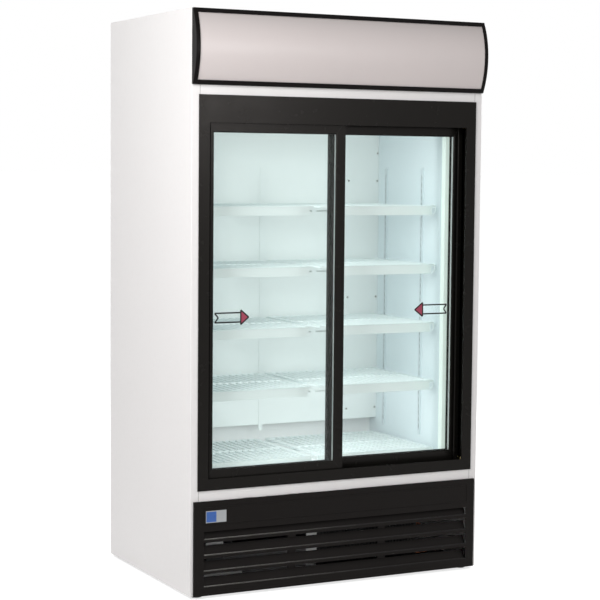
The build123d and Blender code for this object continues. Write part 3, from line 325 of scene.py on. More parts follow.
def galvanised(name, colour, spangle=90):
    """Zinc-coated sheet with that many crystals in a metre."""
    g = Graph(name)
    dark, light = shades(colour, 0.16)
    crystal = g.add("ShaderNodeSeparateColor", {"Color": g.cells(spangle, "Color")}).outputs[0]
    tint = g.blend(crystal, dark, light)
    tint = g.blend(g.spread(g.noise(5, 5), 0, 0.4, 0.45, 0.75), tint, shades(colour, 0.3)[0])
    normal = g.height(g.cells(spangle), 0.00005, 0.4)
    return g.finish(g.principled(tint, g.spread(crystal, 0.32, 0.5), normal, Metallic=1.0))


def bright(name, colour, rough=(0.2, 0.35), stretch=ALONG_Z, stain=None, right=None):
    """Drawn or plated metal; right is the colour it fades to from the left to the middle, as a
    painted highlight.
    """
    g = Graph(name)
    dark, light = shades(colour, 0.1)
    tint = g.blend(g.noise(40, 5, stretch), dark, light)
    if stain:
        tint = g.blend(g.spread(g.noise(26, 5), 0, 0.75, 0.5, 0.72), tint, stain)
    if right:
        tint = g.blend(g.spread(g.axis("X"), 0, 1, LEFT_END, NEAR_MIDDLE), tint, right)
    normal = g.height(g.noise(900, 2, stretch), 0.00002, 0.6)
    return g.finish(g.principled(tint, g.spread(g.noise(60, 4), *rough), normal, Metallic=1.0))


def finned(name, colour):
    """Pack of upright fins, with painted shade in the gaps between their edges, and dust on it in
    patches.
    """
    g = Graph(name)
    across = g.math("FRACT", g.math("DIVIDE", g.axis("X"), FIN_PITCH))
    edge = g.spread(g.math("ABSOLUTE", g.math("SUBTRACT", across, 0.5)), 0, 1, 0.1, 0.3)
    # painted shade: the gaps between the fin edges are darkened
    tint = g.blend(edge, shades(colour, 0.55)[0], colour)
    tint = g.blend(g.spread(g.noise(14, 5), 0, 0.35, 0.5, 0.8), tint, srgb(96, 92, 84))
    gloss = g.spread(g.noise(50, 3), 0.35, 0.55)
    return g.finish(g.principled(tint, gloss, g.height(edge, 0.0008, 0.8), Metallic=1.0))


finishes.update({
    "back_sheet": galvanised("galvanised back sheet", srgb(196, 198, 200)),
    "zinc_sheet": galvanised("galvanised sheet", srgb(186, 188, 190), 130),
    "hanger_steel": bright("zinc plated steel", srgb(190, 190, 186)),
    "spacer_bar": bright("aluminium spacer", srgb(236, 236, 234), (0.4, 0.55)),
    "copper": bright("copper tube", srgb(196, 128, 96), (0.25, 0.42), ALL_WAYS,
                     stain=srgb(96, 60, 42)),
    "coil": finned("aluminium fins", srgb(204, 206, 207)),
})
plate_steel = bright("brushed plate", srgb(150, 152, 154), (0.3, 0.42), ALONG_X)
# painted highlight: the lips are a lighter grey at the left end that fades by the middle
painted_lip_highlight = bright("black edge with painted highlight", srgb(86, 85, 82), (0.28, 0.4), ALONG_X,
                   right=srgb(46, 45, 45))
zinc_trim = bright("clean zinc", srgb(240, 240, 238), (0.3, 0.42), ALL_WAYS)
# painted shade: the condenser's fins are darkened for the unlit machine room; the patches are dust
fins_in_painted_shade = finned("dusty fins in painted shade", srgb(58, 58, 58))
duct_white = painted("white duct sheet", srgb(236, 241, 240), SATIN, 0.00003, 0.0004)
# painted light: a brighter white that lifts the shade on the liner's back and floor
white_with_painted_light = painted("white sheet with painted light", srgb(252, 254, 254), SATIN, 0.00003, 0.0004)
standard_coat = painted("pale channel coat", srgb(216, 226, 230), SATIN, 0.00003, 0.0001)
print("metals added,", len(finishes), "so far")

# %% [markdown]
# ## Glass and the canopy lens
# A pane is thin and flat, so light goes straight through it: a see-through shader with a thin
# reflection on top gives a clear view and lets lamplight in. The reflection grows towards the
# edge of view as real glass does. Each pass takes away a little red, which makes the greenish
# white of a stacked unit. The lens is opal acrylic: it scatters what falls on it and lets some
# through, under a smooth skin.

# %% Glass and opal acrylic
FILM = (0.006, 0.012)  # share of the light that dust on the pane scatters
HEAD_ON, EDGE_ON = 0.008, 0.5  # share that is mirrored, and what a grazing view adds to it
# painted shade: the lens colour darkens towards its upper and lower edges
UPPER_SHADE, LOWER_SHADE = 0.62, 0.08
LIGHT_THROUGH = 0.2


def pane_glass(name, tint):
    """Thin clear pane with a faint mirror image and a breath of dust."""
    g = Graph(name)
    film = g.spread(g.noise(5, 5), *FILM, 0.5, 0.8)
    clear = g.add("ShaderNodeBsdfTransparent", {"Color": (*tint, 1)}).outputs[0]
    surface = {"Color": (1, 1, 1, 1), "Roughness": g.spread(film, 0.01, 0.04, *FILM),
               "Normal": g.height(g.noise(3, 1), 0.0002, 0.3)}
    gloss = g.add("ShaderNodeBsdfGlossy", surface).outputs[0]
    veil = g.add("ShaderNodeBsdfDiffuse", {"Color": (*srgb(232, 240, 238), 1)}).outputs[0]
    facing = g.add("ShaderNodeLayerWeight", {"Blend": 0.5}).outputs["Facing"]
    bounce = g.math("ADD", g.math("MULTIPLY", g.math("POWER", facing, 5.0), EDGE_ON), HEAD_ON)
    seen = g.add("ShaderNodeMixShader", {0: bounce, 1: clear, 2: gloss}).outputs[0]
    return g.finish(g.add("ShaderNodeMixShader", {0: film, 1: seen, 2: veil}).outputs[0])


def opal(name, colour, middle_z, half_height):
    """Opal sheet with painted shade: darker near its upper edge and a little so near the lower one,
    where its lamps light it less.
    """
    g = Graph(name)
    dark, light = shades(colour, 0.03)
    tint = g.blend(g.noise(4, 3), dark, light)
    off = g.math("SUBTRACT", g.axis("Z"), middle_z)
    for reach, amount in ((half_height, UPPER_SHADE), (-half_height, LOWER_SHADE)):
        edge = g.math("POWER", g.spread(off, 0, 1, 0.0, reach), 2.2)
        tint = g.blend(g.math("MULTIPLY", edge, amount), tint, shades(colour, 0.42)[0])
    gloss = g.spread(g.noise(12, 4), 0.3, 0.38)
    skin = g.principled(tint, gloss, g.height(g.noise(500, 2), 0.00002))
    through = g.add("ShaderNodeBsdfTranslucent", {"Color": tint}).outputs[0]
    both = g.add("ShaderNodeMixShader", {0: LIGHT_THROUGH, 1: skin, 2: through})
    return g.finish(both.outputs[0])


finishes["glass"] = pane_glass("insulating glass", (0.982, 0.996, 0.993))
lens_low, lens_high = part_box("canopy_lens")
finishes["canopy_diffuser"] = opal("opal lens", srgb(233, 224, 222), (lens_low.z + lens_high.z) / 2,
                                   (lens_high.z - lens_low.z) / 2)
print("all", len(finishes), "finishes")

# %% [markdown]
# ## Finishes on the solid pieces
# The record lists a finish for each solid piece by its slot name, so one loop can hand them
# out. A slot that has no recipe here would stop the script, which is the safe way round. Three
# pieces in the machine room get a dark finish of their own, a painted shade for the unlit space
# behind the grille, and the liner's back and floor a brighter white than its walls, painted light.

# %% Hand out the finishes
slot_of = {part["node"]: part["material_slot"] for part in frame["record"]["subparts"]}
for name, node in nodes.items():
    node.data.materials.clear()
    node.data.materials.append(finishes[slot_of[name]])
# condenser coil, control box and base pan are darkened here as painted shade
own_finish = {
    "condenser_coil": fins_in_painted_shade, "control_box": machine_grey, "base_pan": machine_grey,
    "air_duct_panel": duct_white, "evaporator_cover": duct_white,
    # the liner's back and floor get a brighter white as painted light
    "liner_back": white_with_painted_light, "liner_floor": white_with_painted_light,
}
for name, finish in own_finish.items():
    nodes[name].data.materials[0] = finish
print({slot: list(slot_of.values()).count(slot) for slot in sorted(set(slot_of.values()))})

# %% [markdown]
# ## Making small pieces
# The small parts are thin sheet, wire and moulded bits. Four builders cover them: a slab with
# broken edges, a flat outline given a thickness, a section that runs along x, and a round wire
# along a path. They work in millimetres in the cabinet's own frame, so sizes read like a drawing.

# %% Builders
SEAT = 0.2  # how far a small piece is let into the face it sits on


def piece(name, bm, finish, body, smooth=None):
    """Object from a bmesh in millimetres, riding on a body."""
    bmesh.ops.scale(bm, vec=(MM, MM, MM), verts=bm.verts)
    bmesh.ops.recalc_face_normals(bm, faces=bm.faces)
    mesh = bpy.data.meshes.new(name)
    bm.to_mesh(mesh)
    bm.free()
    mesh.materials.append(finish)
    if smooth:
        mesh.shade_smooth()
        mesh.set_sharp_from_angle(angle=math.radians(smooth))
    made = bpy.data.objects.new(name, mesh)
    bpy.context.scene.collection.objects.link(made)
    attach(made, body)
    return made


def slab(bm, low, high, edge):
    """Closed box between two corners, its edges broken by that much."""
    size = [b - a for a, b in zip(low, high)]
    middle = [(a + b) / 2 for a, b in zip(low, high)]
    place = Matrix.Translation(middle) @ Matrix.Diagonal((*size, 1))
    made = bmesh.ops.create_cube(bm, size=1, matrix=place)
    if edge:
        edges = {e for v in made["verts"] for e in v.link_edges}
        bmesh.ops.bevel(bm, geom=list(edges), offset=edge, segments=2, affect="EDGES", profile=0.5)


def outline(bm, points, y0, y1):
    """Flat outline of (x, z) points, solid from y0 to y1."""
    face = bm.faces.new([bm.verts.new((x, y0, z)) for x, z in points])
    made = bmesh.ops.extrude_face_region(bm, geom=[face])["geom"]
    moved = [v for v in made if isinstance(v, bmesh.types.BMVert)]
    bmesh.ops.translate(bm, vec=(0, y1 - y0, 0), verts=moved)


def run_x(bm, section, x0, x1):
    """Solid with a section of (y, z) points that runs from x0 to x1."""
    ends = [[bm.verts.new((x, y, z)) for y, z in section] for x in (x0, x1)]
    bm.faces.new(ends[0])
    bm.faces.new(ends[1])
    for k in range(len(section)):
        n = (k + 1) % len(section)
        bm.faces.new((ends[0][k], ends[0][n], ends[1][n], ends[1][k]))


def wire(bm, points, radius, sides=8, closed=False):
    """Round wire along points, with a ring at each and caps at open ends."""
    points = [Vector(p) for p in points]
    count = len(points)
    rings = []
    side = None
    for i, p in enumerate(points):
        back = points[i - 1] if i or closed else p
        on = points[(i + 1) % count] if i < count - 1 or closed else p
        along = (on - back).normalized()
        if side is None:
            side = along.orthogonal().normalized()
        side = (side - along * side.dot(along)).normalized()
        other = along.cross(side)
        rings.append([bm.verts.new(p + radius * (math.cos(a) * side + math.sin(a) * other))
                      for a in (2 * math.pi * k / sides for k in range(sides))])
    for a, b in zip(rings, rings[1:] + (rings[:1] if closed else [])):
        for k in range(sides):
            bm.faces.new((a[k], a[(k + 1) % sides], b[(k + 1) % sides], b[k]))
    if not closed:
        bm.faces.new(rings[0])
        bm.faces.new(rings[-1])


print("builders ready")

# %% [markdown]
# ## Slide arrows on the glass
# A clear sticker with a printed arrow shows which way each door goes: an open body with a
# swallow tail, drawn in black line, and a solid head in crimson with a black border. Vinyl is
# cut and laid on the outer pane, so each line is a real strip a tenth of a millimetre thick.

# %% Arrow stickers
LINE = 5.0
SHAFT_HALF = 16.0
HEAD_HALF = 25.0
VINYL = 0.12


def strip_line(bm, a, b, y0, y1, width=LINE):
    """Flat strip from a to b, both (x, z)."""
    dx, dz = b[0] - a[0], b[1] - a[1]
    reach = math.hypot(dx, dz)
    ox, oz = -dz / reach * width / 2, dx / reach * width / 2
    corners = [(a[0] + ox, a[1] + oz), (b[0] + ox, b[1] + oz),
               (b[0] - ox, b[1] - oz), (a[0] - ox, a[1] - oz)]
    outline(bm, corners, y0, y1)


def slide_arrow(side, body, face, tail, notch, head, tip, z):
    """Arrow along x: tail end, notch of the tail, base of the head and its tip, at height z."""
    layers = [(face - (n + 1) * VINYL, face - n * VINYL) for n in range(4)]
    bm = bmesh.new()
    for sign in (1, -1):
        corner = (tail, z + sign * SHAFT_HALF)
        strip_line(bm, corner, (head, z + sign * SHAFT_HALF), *layers[0])
        strip_line(bm, corner, (notch, z), *layers[1])
        strip_line(bm, (head, z + sign * HEAD_HALF), (tip, z), *layers[2])
    strip_line(bm, (head, z - HEAD_HALF), (head, z + HEAD_HALF), *layers[3])
    piece(side + "_arrow_lines", bm, black_vinyl, body)
    bm = bmesh.new()
    outline(bm, [(head, z - HEAD_HALF), (tip, z), (head, z + HEAD_HALF)], *layers[0])
    piece(side + "_arrow_head", bm, crimson_vinyl, body)


left_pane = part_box("left_door_glass")[0].y / MM
right_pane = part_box("right_door_glass")[0].y / MM
slide_arrow("left_door", "left_door", left_pane, tail=-477, notch=-464, head=-380, tip=-350, z=955)
slide_arrow("right_door", "right_door", right_pane, tail=465, notch=453, head=364, tip=331, z=957)
print("outer panes at y", round(left_pane, 1), "and", round(right_pane, 1))

# %% [markdown]
# ## Plate on the grille
# A small bare metal plate sits at the left end of the grille's plain band, half of it enamelled
# blue. It is bonded on, so it stands a little proud and has rounded corners.

# %% Bare plate
grille_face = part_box("louvre_grille")[0].y / MM
PLATE_X0, PLATE_X1 = -516.5, -440.0
PLATE_Z0, PLATE_Z1 = 261.0, 302.0
PLATE_PROUD, ENAMEL_PROUD, ENAMEL_TO = 0.9, 0.2, 39
bm = bmesh.new()
slab(bm, (PLATE_X0, grille_face - PLATE_PROUD, PLATE_Z0),
     (PLATE_X1, grille_face + SEAT, PLATE_Z1), 0.4)
piece("band_plate", bm, plate_steel, "cabinet")
bm = bmesh.new()
slab(bm, (PLATE_X0 + 2, grille_face - PLATE_PROUD - ENAMEL_PROUD, PLATE_Z0 + 2.5),
     (PLATE_X0 + ENAMEL_TO, grille_face - PLATE_PROUD + 0.1, PLATE_Z1 - 3), 0.1)
piece("band_plate_enamel", bm, blue_enamel, "cabinet")
print("plate", PLATE_X1 - PLATE_X0, "x", PLATE_Z1 - PLATE_Z0, "mm")

# %% [markdown]
# ## Louvre lips
# Each louvre bar ends above in a folded lip. It takes the light of a lamp as a fine line along
# the bar, and that line is painted into the lip's colour: a lighter grey at the left end that
# fades to dark by the middle, a painted highlight. The lip leans back a little, as a folded edge
# does.

# %% Lips on the bars, with a painted highlight
LIP_FIRST = 45.0
LIP_PITCH = 54.0
LIP_HALF = 522.5
LIP_HEIGHT = 3.2
LIP_FOOT, LIP_HEAD, LIP_BACK = -0.2, 0.7, 2.2
lip_tops = [LIP_FIRST + row * LIP_PITCH for row in range(4)]
bm = bmesh.new()
for top in lip_tops:
    section = [(LIP_FOOT, top - LIP_HEIGHT), (LIP_HEAD, top - 0.1), (LIP_BACK, top - 0.1),
               (LIP_BACK, top - LIP_HEIGHT)]
    run_x(bm, [(grille_face + y, z) for y, z in section], -LIP_HALF, LIP_HALF)
piece("louvre_lips", bm, painted_lip_highlight, "cabinet")
print("lips at z", lip_tops)

# %% [markdown]
# ## Bare metal in the machine room
# Through the louvres one sees only a few bright bits in the dark: the flange on the condenser's
# end, and the mounting foot and a cover strip of the control box, all bare zinc.

# %% Flange, foot and strip
BROKEN = 0.3  # how much its edges are broken
SPINDLE = 9.5  # how far the knob's spindle stands out of the box
FLANGE_OUT, FLANGE_OVER, FLANGE_SHORT = 30, 11, 3
TRIM_SHEET, STRIP_SHEET = 1.2, 1.0
FOOT_IN, FOOT_Z = 1, (58, 84)
STRIP_X, STRIP_Z = (9, 73), (172, 190)
coil_low, coil_high = (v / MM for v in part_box("condenser_coil"))
box_low, box_high = (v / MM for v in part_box("control_box"))
bm = bmesh.new()
slab(bm, (coil_low.x - FLANGE_OUT, coil_low.y - TRIM_SHEET, coil_low.z + FLANGE_SHORT),
     (coil_low.x + FLANGE_OVER, coil_low.y + SEAT, coil_high.z - FLANGE_SHORT), BROKEN)
piece("condenser_flange", bm, zinc_trim, "cabinet")
front_y = box_low.y + SPINDLE
foot = (box_low.x + FOOT_IN, box_high.x - FOOT_IN, *FOOT_Z, TRIM_SHEET)
strip = (box_low.x + STRIP_X[0], box_low.x + STRIP_X[1], *STRIP_Z, STRIP_SHEET)
bm = bmesh.new()
for x0, x1, z0, z1, sheet in (foot, strip):
    slab(bm, (x0, front_y - sheet, z0), (x1, front_y + SEAT, z1), BROKEN)
piece("control_box_trim", bm, zinc_trim, "cabinet")
print("trim on the control box at y", round(front_y, 1))

# %% [markdown]
# ## Slotted standards
# The shelves hang on steel channels with a row of long slots every inch. The solid model has
# the plain channel; here it is cut as a real plate with holes, so one looks into the channel
# through the slots. The plate is laid out as a grid of cells, and every cell that is a slot
# stays open and gets walls. The middle channel is let into the duct's sheet, so it stands out
# less. A strip inside each channel gives the slots a back: a dark one in the wall channels,
# a painted shade, and a pale one in the middle channel.

# %% Standards with real slots
SLOT_PITCH = 25.4
SLOT_HEIGHT = 19.0
SLOT_WIDTH = 3.6
CHANNEL_SHEET = 0.8
CHANNEL_WIDTH = 16.0
CHANNEL_DEPTH = 5.0
LET_IN = 0.3
CHANNEL_Y = (-50, 220)
PLAIN_FOOT, PLAIN_HEAD = 20, 15  # lengths without slots
BACK_FROM, BACK_TO, BACK_HALF = 2.6, 3.4, 6  # the slots' back: off the wall, and half its width
BACK_SHORT = 5
# Sides of a cell: its two corners and the neighbour beyond it
CELL_SIDES = (((0, 0), (1, 0), (0, -1)), ((1, 0), (1, 1), (1, 0)),
              ((1, 1), (0, 1), (0, 1)), ((0, 1), (0, 0), (-1, 0)))


def slotted_plate(bm, z0, z1, place):
    """Plate with a column of slots; place turns (across, depth, z) into a point."""
    land = (CHANNEL_WIDTH - SLOT_WIDTH) / 2
    across = [0, land, (CHANNEL_WIDTH + SLOT_WIDTH) / 2, CHANNEL_WIDTH]
    levels = [z0]
    z = z0 + PLAIN_FOOT
    while z + SLOT_HEIGHT < z1 - PLAIN_HEAD:
        levels += [z, z + SLOT_HEIGHT]
        z += SLOT_PITCH
    levels.append(z1)
    solid = {(i, j) for i in range(3) for j in range(len(levels) - 1) if i != 1 or j % 2 == 0}
    grid = {}

    def corner(i, j, back):
        if (i, j, back) not in grid:
            grid[i, j, back] = bm.verts.new(place(across[i], CHANNEL_SHEET * back, levels[j]))
        return grid[i, j, back]

    for i, j in sorted(solid):
        for back in (0, 1):
            bm.faces.new([corner(i, j, back), corner(i + 1, j, back),
                          corner(i + 1, j + 1, back), corner(i, j + 1, back)])
        for a, b, beyond in CELL_SIDES:
            if (i + beyond[0], j + beyond[1]) not in solid:
                p, q = (i + a[0], j + a[1]), (i + b[0], j + b[1])
                bm.faces.new([corner(*p, 0), corner(*q, 0), corner(*q, 1), corner(*p, 1)])
    return (len(levels) - 2) // 2


def channel(bm, z0, z1, place):
    """Slotted plate with its two side walls behind it."""
    count = slotted_plate(bm, z0, z1, place)
    for a in (0, CHANNEL_WIDTH - CHANNEL_SHEET):
        one, two = place(a, CHANNEL_SHEET, z0), place(a + CHANNEL_SHEET, CHANNEL_DEPTH, z1)
        slab(bm, [min(p) for p in zip(one, two)], [max(p) for p in zip(one, two)], 0)
    return count


low, high = (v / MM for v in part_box("shelf_standards"))
duct_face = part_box("air_duct_panel")[0].y / MM
back_z0, back_z1 = low.z + BACK_SHORT, high.z - BACK_SHORT
channels, backs = bmesh.new(), bmesh.new()
slots = 0
for depth in CHANNEL_Y:
    for wall, sign in ((low.x, 1), (high.x, -1)):
        slots += channel(channels, low.z, high.z, lambda a, d, z: (
            wall + sign * (CHANNEL_DEPTH - d), depth - CHANNEL_WIDTH / 2 + a, z))
        x0, x1 = sorted((wall + sign * BACK_FROM, wall + sign * BACK_TO))
        slab(backs, (x0, depth - BACK_HALF, back_z0), (x1, depth + BACK_HALF, back_z1), 0)
standards = piece("slotted_standards", channels, standard_coat, "cabinet")
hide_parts("shelf_standards")
bm = bmesh.new()
slots += channel(bm, low.z, high.z, lambda a, d, z: (
    a - CHANNEL_WIDTH / 2, duct_face - (CHANNEL_DEPTH - d) * LET_IN, z))
piece("middle_standard", bm, duct_white, "cabinet")
# painted shade behind the wall slots
piece("wall_standard_liners", backs, slot_shade, "cabinet")
bm = bmesh.new()
slab(bm, (-BACK_HALF, duct_face - 1.2, back_z0), (BACK_HALF, duct_face - 0.9, back_z1), 0)
piece("middle_standard_liner", bm, slot_pale, "cabinet")
print(slots, "slots in five standards")

# %% [markdown]
# ## Vanes in the air outlets
# Cold air leaves the duct through rows of slots, one row under each shelf. A bent strip behind
# each row turns the air forward, and hides the dark inside of the duct from the customer.

# %% Vanes behind the outlets
OUTLET_FIRST, OUTLET_RISE = 596.0, 234.0
OUTLET_SPANS = ((-312, -48), (48, 312))
VANE = ((1.4, -6), (1.4, -5), (8, 5.5), (9, 5.5))  # section behind the sheet, (y, z)
outlets = [OUTLET_FIRST + row * OUTLET_RISE for row in range(4)]
bm = bmesh.new()
for z in outlets:
    for x0, x1 in OUTLET_SPANS:
        run_x(bm, [(duct_face + away, z + up) for away, up in VANE], x0, x1)
piece("outlet_vanes", bm, duct_white, "cabinet")
print("vanes at z", outlets)

# %% [markdown]
# ## Shelf fronts
# Each shelf has a price strip along its front with a thin lip above and below, and a bent wire
# clip at its outer end that holds the strip on. The clip is what shows as a small hook at the
# right end of every shelf.

# %% Strip lips and end clips
CLIP = 1.5  # radius of the clip's wire
CLIP_PATH = ((-4, CLIP), (8, CLIP), (12, -2), (13.5, -8), (13, -20), (9, -27), (2, -30))
STRIP_IN = 19
EDGE_OUT, EDGE_RISE = 1.4, 2
lips, clips = bmesh.new(), bmesh.new()
for side, sign in (("left", -1), ("right", 1)):
    for level in range(1, 5):
        low, high = (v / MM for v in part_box(f"shelf_{side}_{level}"))
        x0, x1 = low.x + STRIP_IN, high.x - STRIP_IN
        for z in (high.z - 2.5, low.z + 0.5):
            slab(lips, (x0, low.y - EDGE_OUT, z), (x1, low.y + SEAT, z + EDGE_RISE), 0.5)
        end, out = (x0, -1) if sign < 0 else (x1, 1)
        wire(clips, [(end + out * x, low.y - CLIP, high.z + up) for x, up in CLIP_PATH], CLIP)
piece("price_strip_lips", lips, finishes["shelf_coat"], "cabinet")
piece("shelf_end_clips", clips, finishes["shelf_coat"], "cabinet", smooth=50)
print("eight shelves, eight clips")

# %% [markdown]
# ## Glazing beads
# Rubber is pushed between the profile and each pane, all round and on both faces. It shows as a
# thin black quarter round against the glass.

# %% Rubber round the panes
STILE, TOP_RAIL, BOTTOM_RAIL = 36.0, 49.0, 41.0  # widths of the door's profiles
BEAD = 0.9  # radius of the rubber that shows
QUARTER = [k * math.pi / 6 for k in range(4)]
BEAD_SECTION = [(0.0, 0.0)] + [(BEAD * math.cos(a), BEAD * math.sin(a)) for a in QUARTER]


def bead_ring(bm, x0, x1, z0, z1, y, out):
    """Quarter-round ring on a pane's face at y; out is -1 on the front and 1 on the rear face."""
    rings = []
    for sx, sz in ((1, 1), (-1, 1), (-1, -1), (1, -1)):
        cx, cz = (x0 if sx > 0 else x1), (z0 if sz > 0 else z1)
        rings.append([bm.verts.new((cx + sx * inward, y + out * away, cz + sz * inward))
                      for inward, away in BEAD_SECTION])
    for a, b in zip(rings, rings[1:] + rings[:1]):
        for k in range(len(BEAD_SECTION)):
            n = (k + 1) % len(BEAD_SECTION)
            bm.faces.new((a[k], a[n], b[n], b[k]))


for side in ("left", "right"):
    frame_low, frame_high = (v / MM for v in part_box(side + "_door_frame"))
    glass_low, glass_high = (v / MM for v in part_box(side + "_door_glass"))
    bm = bmesh.new()
    for y, out in ((glass_low.y, -1), (glass_high.y, 1)):
        bead_ring(bm, frame_low.x + STILE, frame_high.x - STILE, frame_low.z + BOTTOM_RAIL,
                  frame_high.z - TOP_RAIL, y, out)
    piece(side + "_door_beads", bm, black_vinyl, side + "_door", smooth=40)
print("beads on four glass faces")

# %% [markdown]
# ## Mitre joints
# The four profiles of a door meet at 45 degrees. The saw cut shows as a hairline on the face,
# from the outer corner to the corner of the pane.

# %% Hairlines at the corners
HAIRLINE = 0.7
SHORT_BY = 2  # the line stops this far from the corner and from the pane
joint_shade = moulded("joint shadow", srgb(6, 6, 6), (0.7, 0.8), 400)
for side in ("left", "right"):
    frame_low, frame_high = (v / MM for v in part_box(side + "_door_frame"))
    bm = bmesh.new()
    for x, inward in ((frame_low.x, STILE), (frame_high.x, -STILE)):
        for z, rail in ((frame_high.z, -TOP_RAIL), (frame_low.z, BOTTOM_RAIL)):
            reach = math.hypot(inward, rail)
            a = (x + inward * SHORT_BY / reach, z + rail * SHORT_BY / reach)
            b = (x + inward * (1 - SHORT_BY / reach), z + rail * (1 - SHORT_BY / reach))
            strip_line(bm, a, b, frame_low.y - 0.04, frame_low.y + 0.1, HAIRLINE)
    piece(side + "_door_mitres", bm, joint_shade, side + "_door")
print("eight mitre joints")

# %% [markdown]
# ## Seams in the white front
# The folded edges of the side panels meet the front skins above and below the doors. The joint
# is filled, and shows as a fine grey line.

# %% Seam lines
SEAM_X, SEAM_HALF, SEAM_PROUD = 540, 0.8, 0.15
SEAM_SPANS = ((1705.5, 1736.5), (335, 369.5))
front_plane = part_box("side_panel_left")[0].y / MM
bm = bmesh.new()
for x in (-SEAM_X, SEAM_X):
    for z0, z1 in SEAM_SPANS:
        slab(bm, (x - SEAM_HALF, front_plane - SEAM_PROUD, z0),
             (x + SEAM_HALF, front_plane + SEAT, z1), 0)
piece("front_seams", bm, seam_filler, "cabinet")
print("front plane at y", round(front_plane, 1))

# %% [markdown]
# ## Screws
# A pan head is a low dome with a cross recess. One master is turned on a lathe profile and the
# cross is cut out of it, then it is set down wherever sheet is fixed: along the edges of the
# air duct, on the evaporator cover and round the back panel. Heads on the back are flatter,
# because they must not stand out past the side panels.

# %% Screw master and its places
HEAD_RADIUS, PAN_RISE, FLAT_RISE = 4.2, 2.2, 0.85
DOME = ((1, 0), (1, 0.45), (0.86, 0.82), (0.55, 1), (0, 1))  # shares of radius and rise
RECESS_LONG, RECESS_WIDE, RECESS_FROM = 1.1, 0.24, 0.35  # shares of radius and rise too
TURN_EACH = 0.9  # radians from one head to the next
DUCT_PLACES = ((504, 1523), (503, 1415), (376, 1415), (503, 960), (376, 960), (503, 520),
               (376, 520))
COVER_X, COVER_Z = (-480, -240, 240, 480), (1668, 1892)
BACK_SIDES, BACK_SIDES_Z = (-556, 556), range(60, 1960, 235)
BACK_ENDS, BACK_ENDS_Z = (-340, -120, 120, 340), (24, 1975)


def screw_master(radius, rise):
    """Mesh of a pan head whose underside is at z 0."""
    bm = bmesh.new()
    verts = [bm.verts.new((radius * out, 0, rise * up)) for out, up in DOME]
    edges = [bm.edges.new(pair) for pair in zip(verts, verts[1:])]
    bmesh.ops.spin(bm, geom=verts + edges, cent=(0, 0, 0), axis=(0, 0, 1), angle=2 * math.pi,
                   steps=20)
    bmesh.ops.remove_doubles(bm, verts=bm.verts, dist=1e-4)
    rim = [e for e in bm.edges if e.is_boundary]
    bmesh.ops.contextual_create(bm, geom=rim)
    bmesh.ops.recalc_face_normals(bm, faces=bm.faces)
    head = bpy.data.meshes.new("screw head")
    bm.to_mesh(head)
    bm.free()
    bm = bmesh.new()
    length, width = radius * RECESS_LONG, radius * RECESS_WIDE
    for x, y in ((length, width), (width, length)):
        slab(bm, (-x / 2, -y / 2, rise * RECESS_FROM), (x / 2, y / 2, rise * 2), 0)
    cross = bpy.data.meshes.new("screw cross")
    bm.to_mesh(cross)
    bm.free()
    blank = bpy.data.objects.new("screw head", head)
    cutter = bpy.data.objects.new("screw cross", cross)
    for made in (blank, cutter):
        bpy.context.scene.collection.objects.link(made)
    cut = blank.modifiers.new("recess", "BOOLEAN")
    cut.operation = "DIFFERENCE"
    cut.solver = "EXACT"
    cut.use_self = True
    cut.object = cutter
    depsgraph = bpy.context.evaluated_depsgraph_get()
    mesh = bpy.data.meshes.new_from_object(blank.evaluated_get(depsgraph))
    for made in (blank, cutter):
        bpy.data.objects.remove(made)
    return mesh


def screws(name, master, places, towards):
    """Screw heads at places in millimetres that face one way, each turned by its own angle."""
    bm = bmesh.new()
    turn = Vector(towards).to_track_quat("Z", "Y").to_matrix().to_4x4()
    for index, place in enumerate(places):
        start = len(bm.verts)
        bm.from_mesh(master)
        bm.verts.ensure_lookup_table()
        seat = Matrix.Translation(place) @ turn @ Matrix.Rotation(index * TURN_EACH, 4, "Z")
        bmesh.ops.transform(bm, matrix=seat, verts=bm.verts[start:])
    piece(name, bm, finishes["hanger_steel"], "cabinet", smooth=35)


pan_head = screw_master(HEAD_RADIUS, PAN_RISE)
flat_head = screw_master(HEAD_RADIUS, FLAT_RISE)
duct_screws = [(sign * x, duct_face, z) for sign in (-1, 1) for x, z in DUCT_PLACES]
screws("duct_screws", pan_head, duct_screws, (0, -1, 0))
cover_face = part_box("evaporator_cover")[0].y / MM
cover_screws = [(x, cover_face, z) for x in COVER_X for z in COVER_Z]
screws("cover_screws", pan_head, cover_screws, (0, -1, 0))
back_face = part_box("back_panel")[1].y / MM
back_screws = [(x, back_face, z) for x in BACK_SIDES for z in BACK_SIDES_Z]
back_screws += [(x, back_face, z) for x in BACK_ENDS for z in BACK_ENDS_Z]
screws("back_screws", flat_head, back_screws, (0, 1, 0))
print(len(duct_screws) + len(cover_screws) + len(back_screws), "screws")

# %% [markdown]
# ## Fan guard
# A wire guard stands in front of the evaporator fan: rings of thin wire tied by spokes that
# bend back to the cover and are fixed there.

# %% Wire guard
GUARD_RINGS, RING_WIRE, RING_STEPS = (22, 42, 62, 82, 102), 1.1, 40
SPOKES, SPOKE_WIRE, FIRST_SPOKE = 8, 1.4, 0.2
GUARD_REACH, GUARD_AHEAD = 112, 5
fan_low, fan_high = (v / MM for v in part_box("evaporator_fan"))
fan_x, fan_z = (fan_low.x + fan_high.x) / 2, (fan_low.z + fan_high.z) / 2
guard_y = fan_low.y - GUARD_AHEAD
bm = bmesh.new()
for ring in GUARD_RINGS:
    circle = [(fan_x + ring * math.cos(a), guard_y, fan_z + ring * math.sin(a))
              for a in (2 * math.pi * k / RING_STEPS for k in range(RING_STEPS))]
    wire(bm, circle, RING_WIRE, 6, closed=True)
spoke = [(GUARD_RINGS[0], guard_y - 2.2), (GUARD_REACH - 8, guard_y - 2.2),
         (GUARD_REACH, guard_y + 6), (GUARD_REACH, cover_face - 1)]
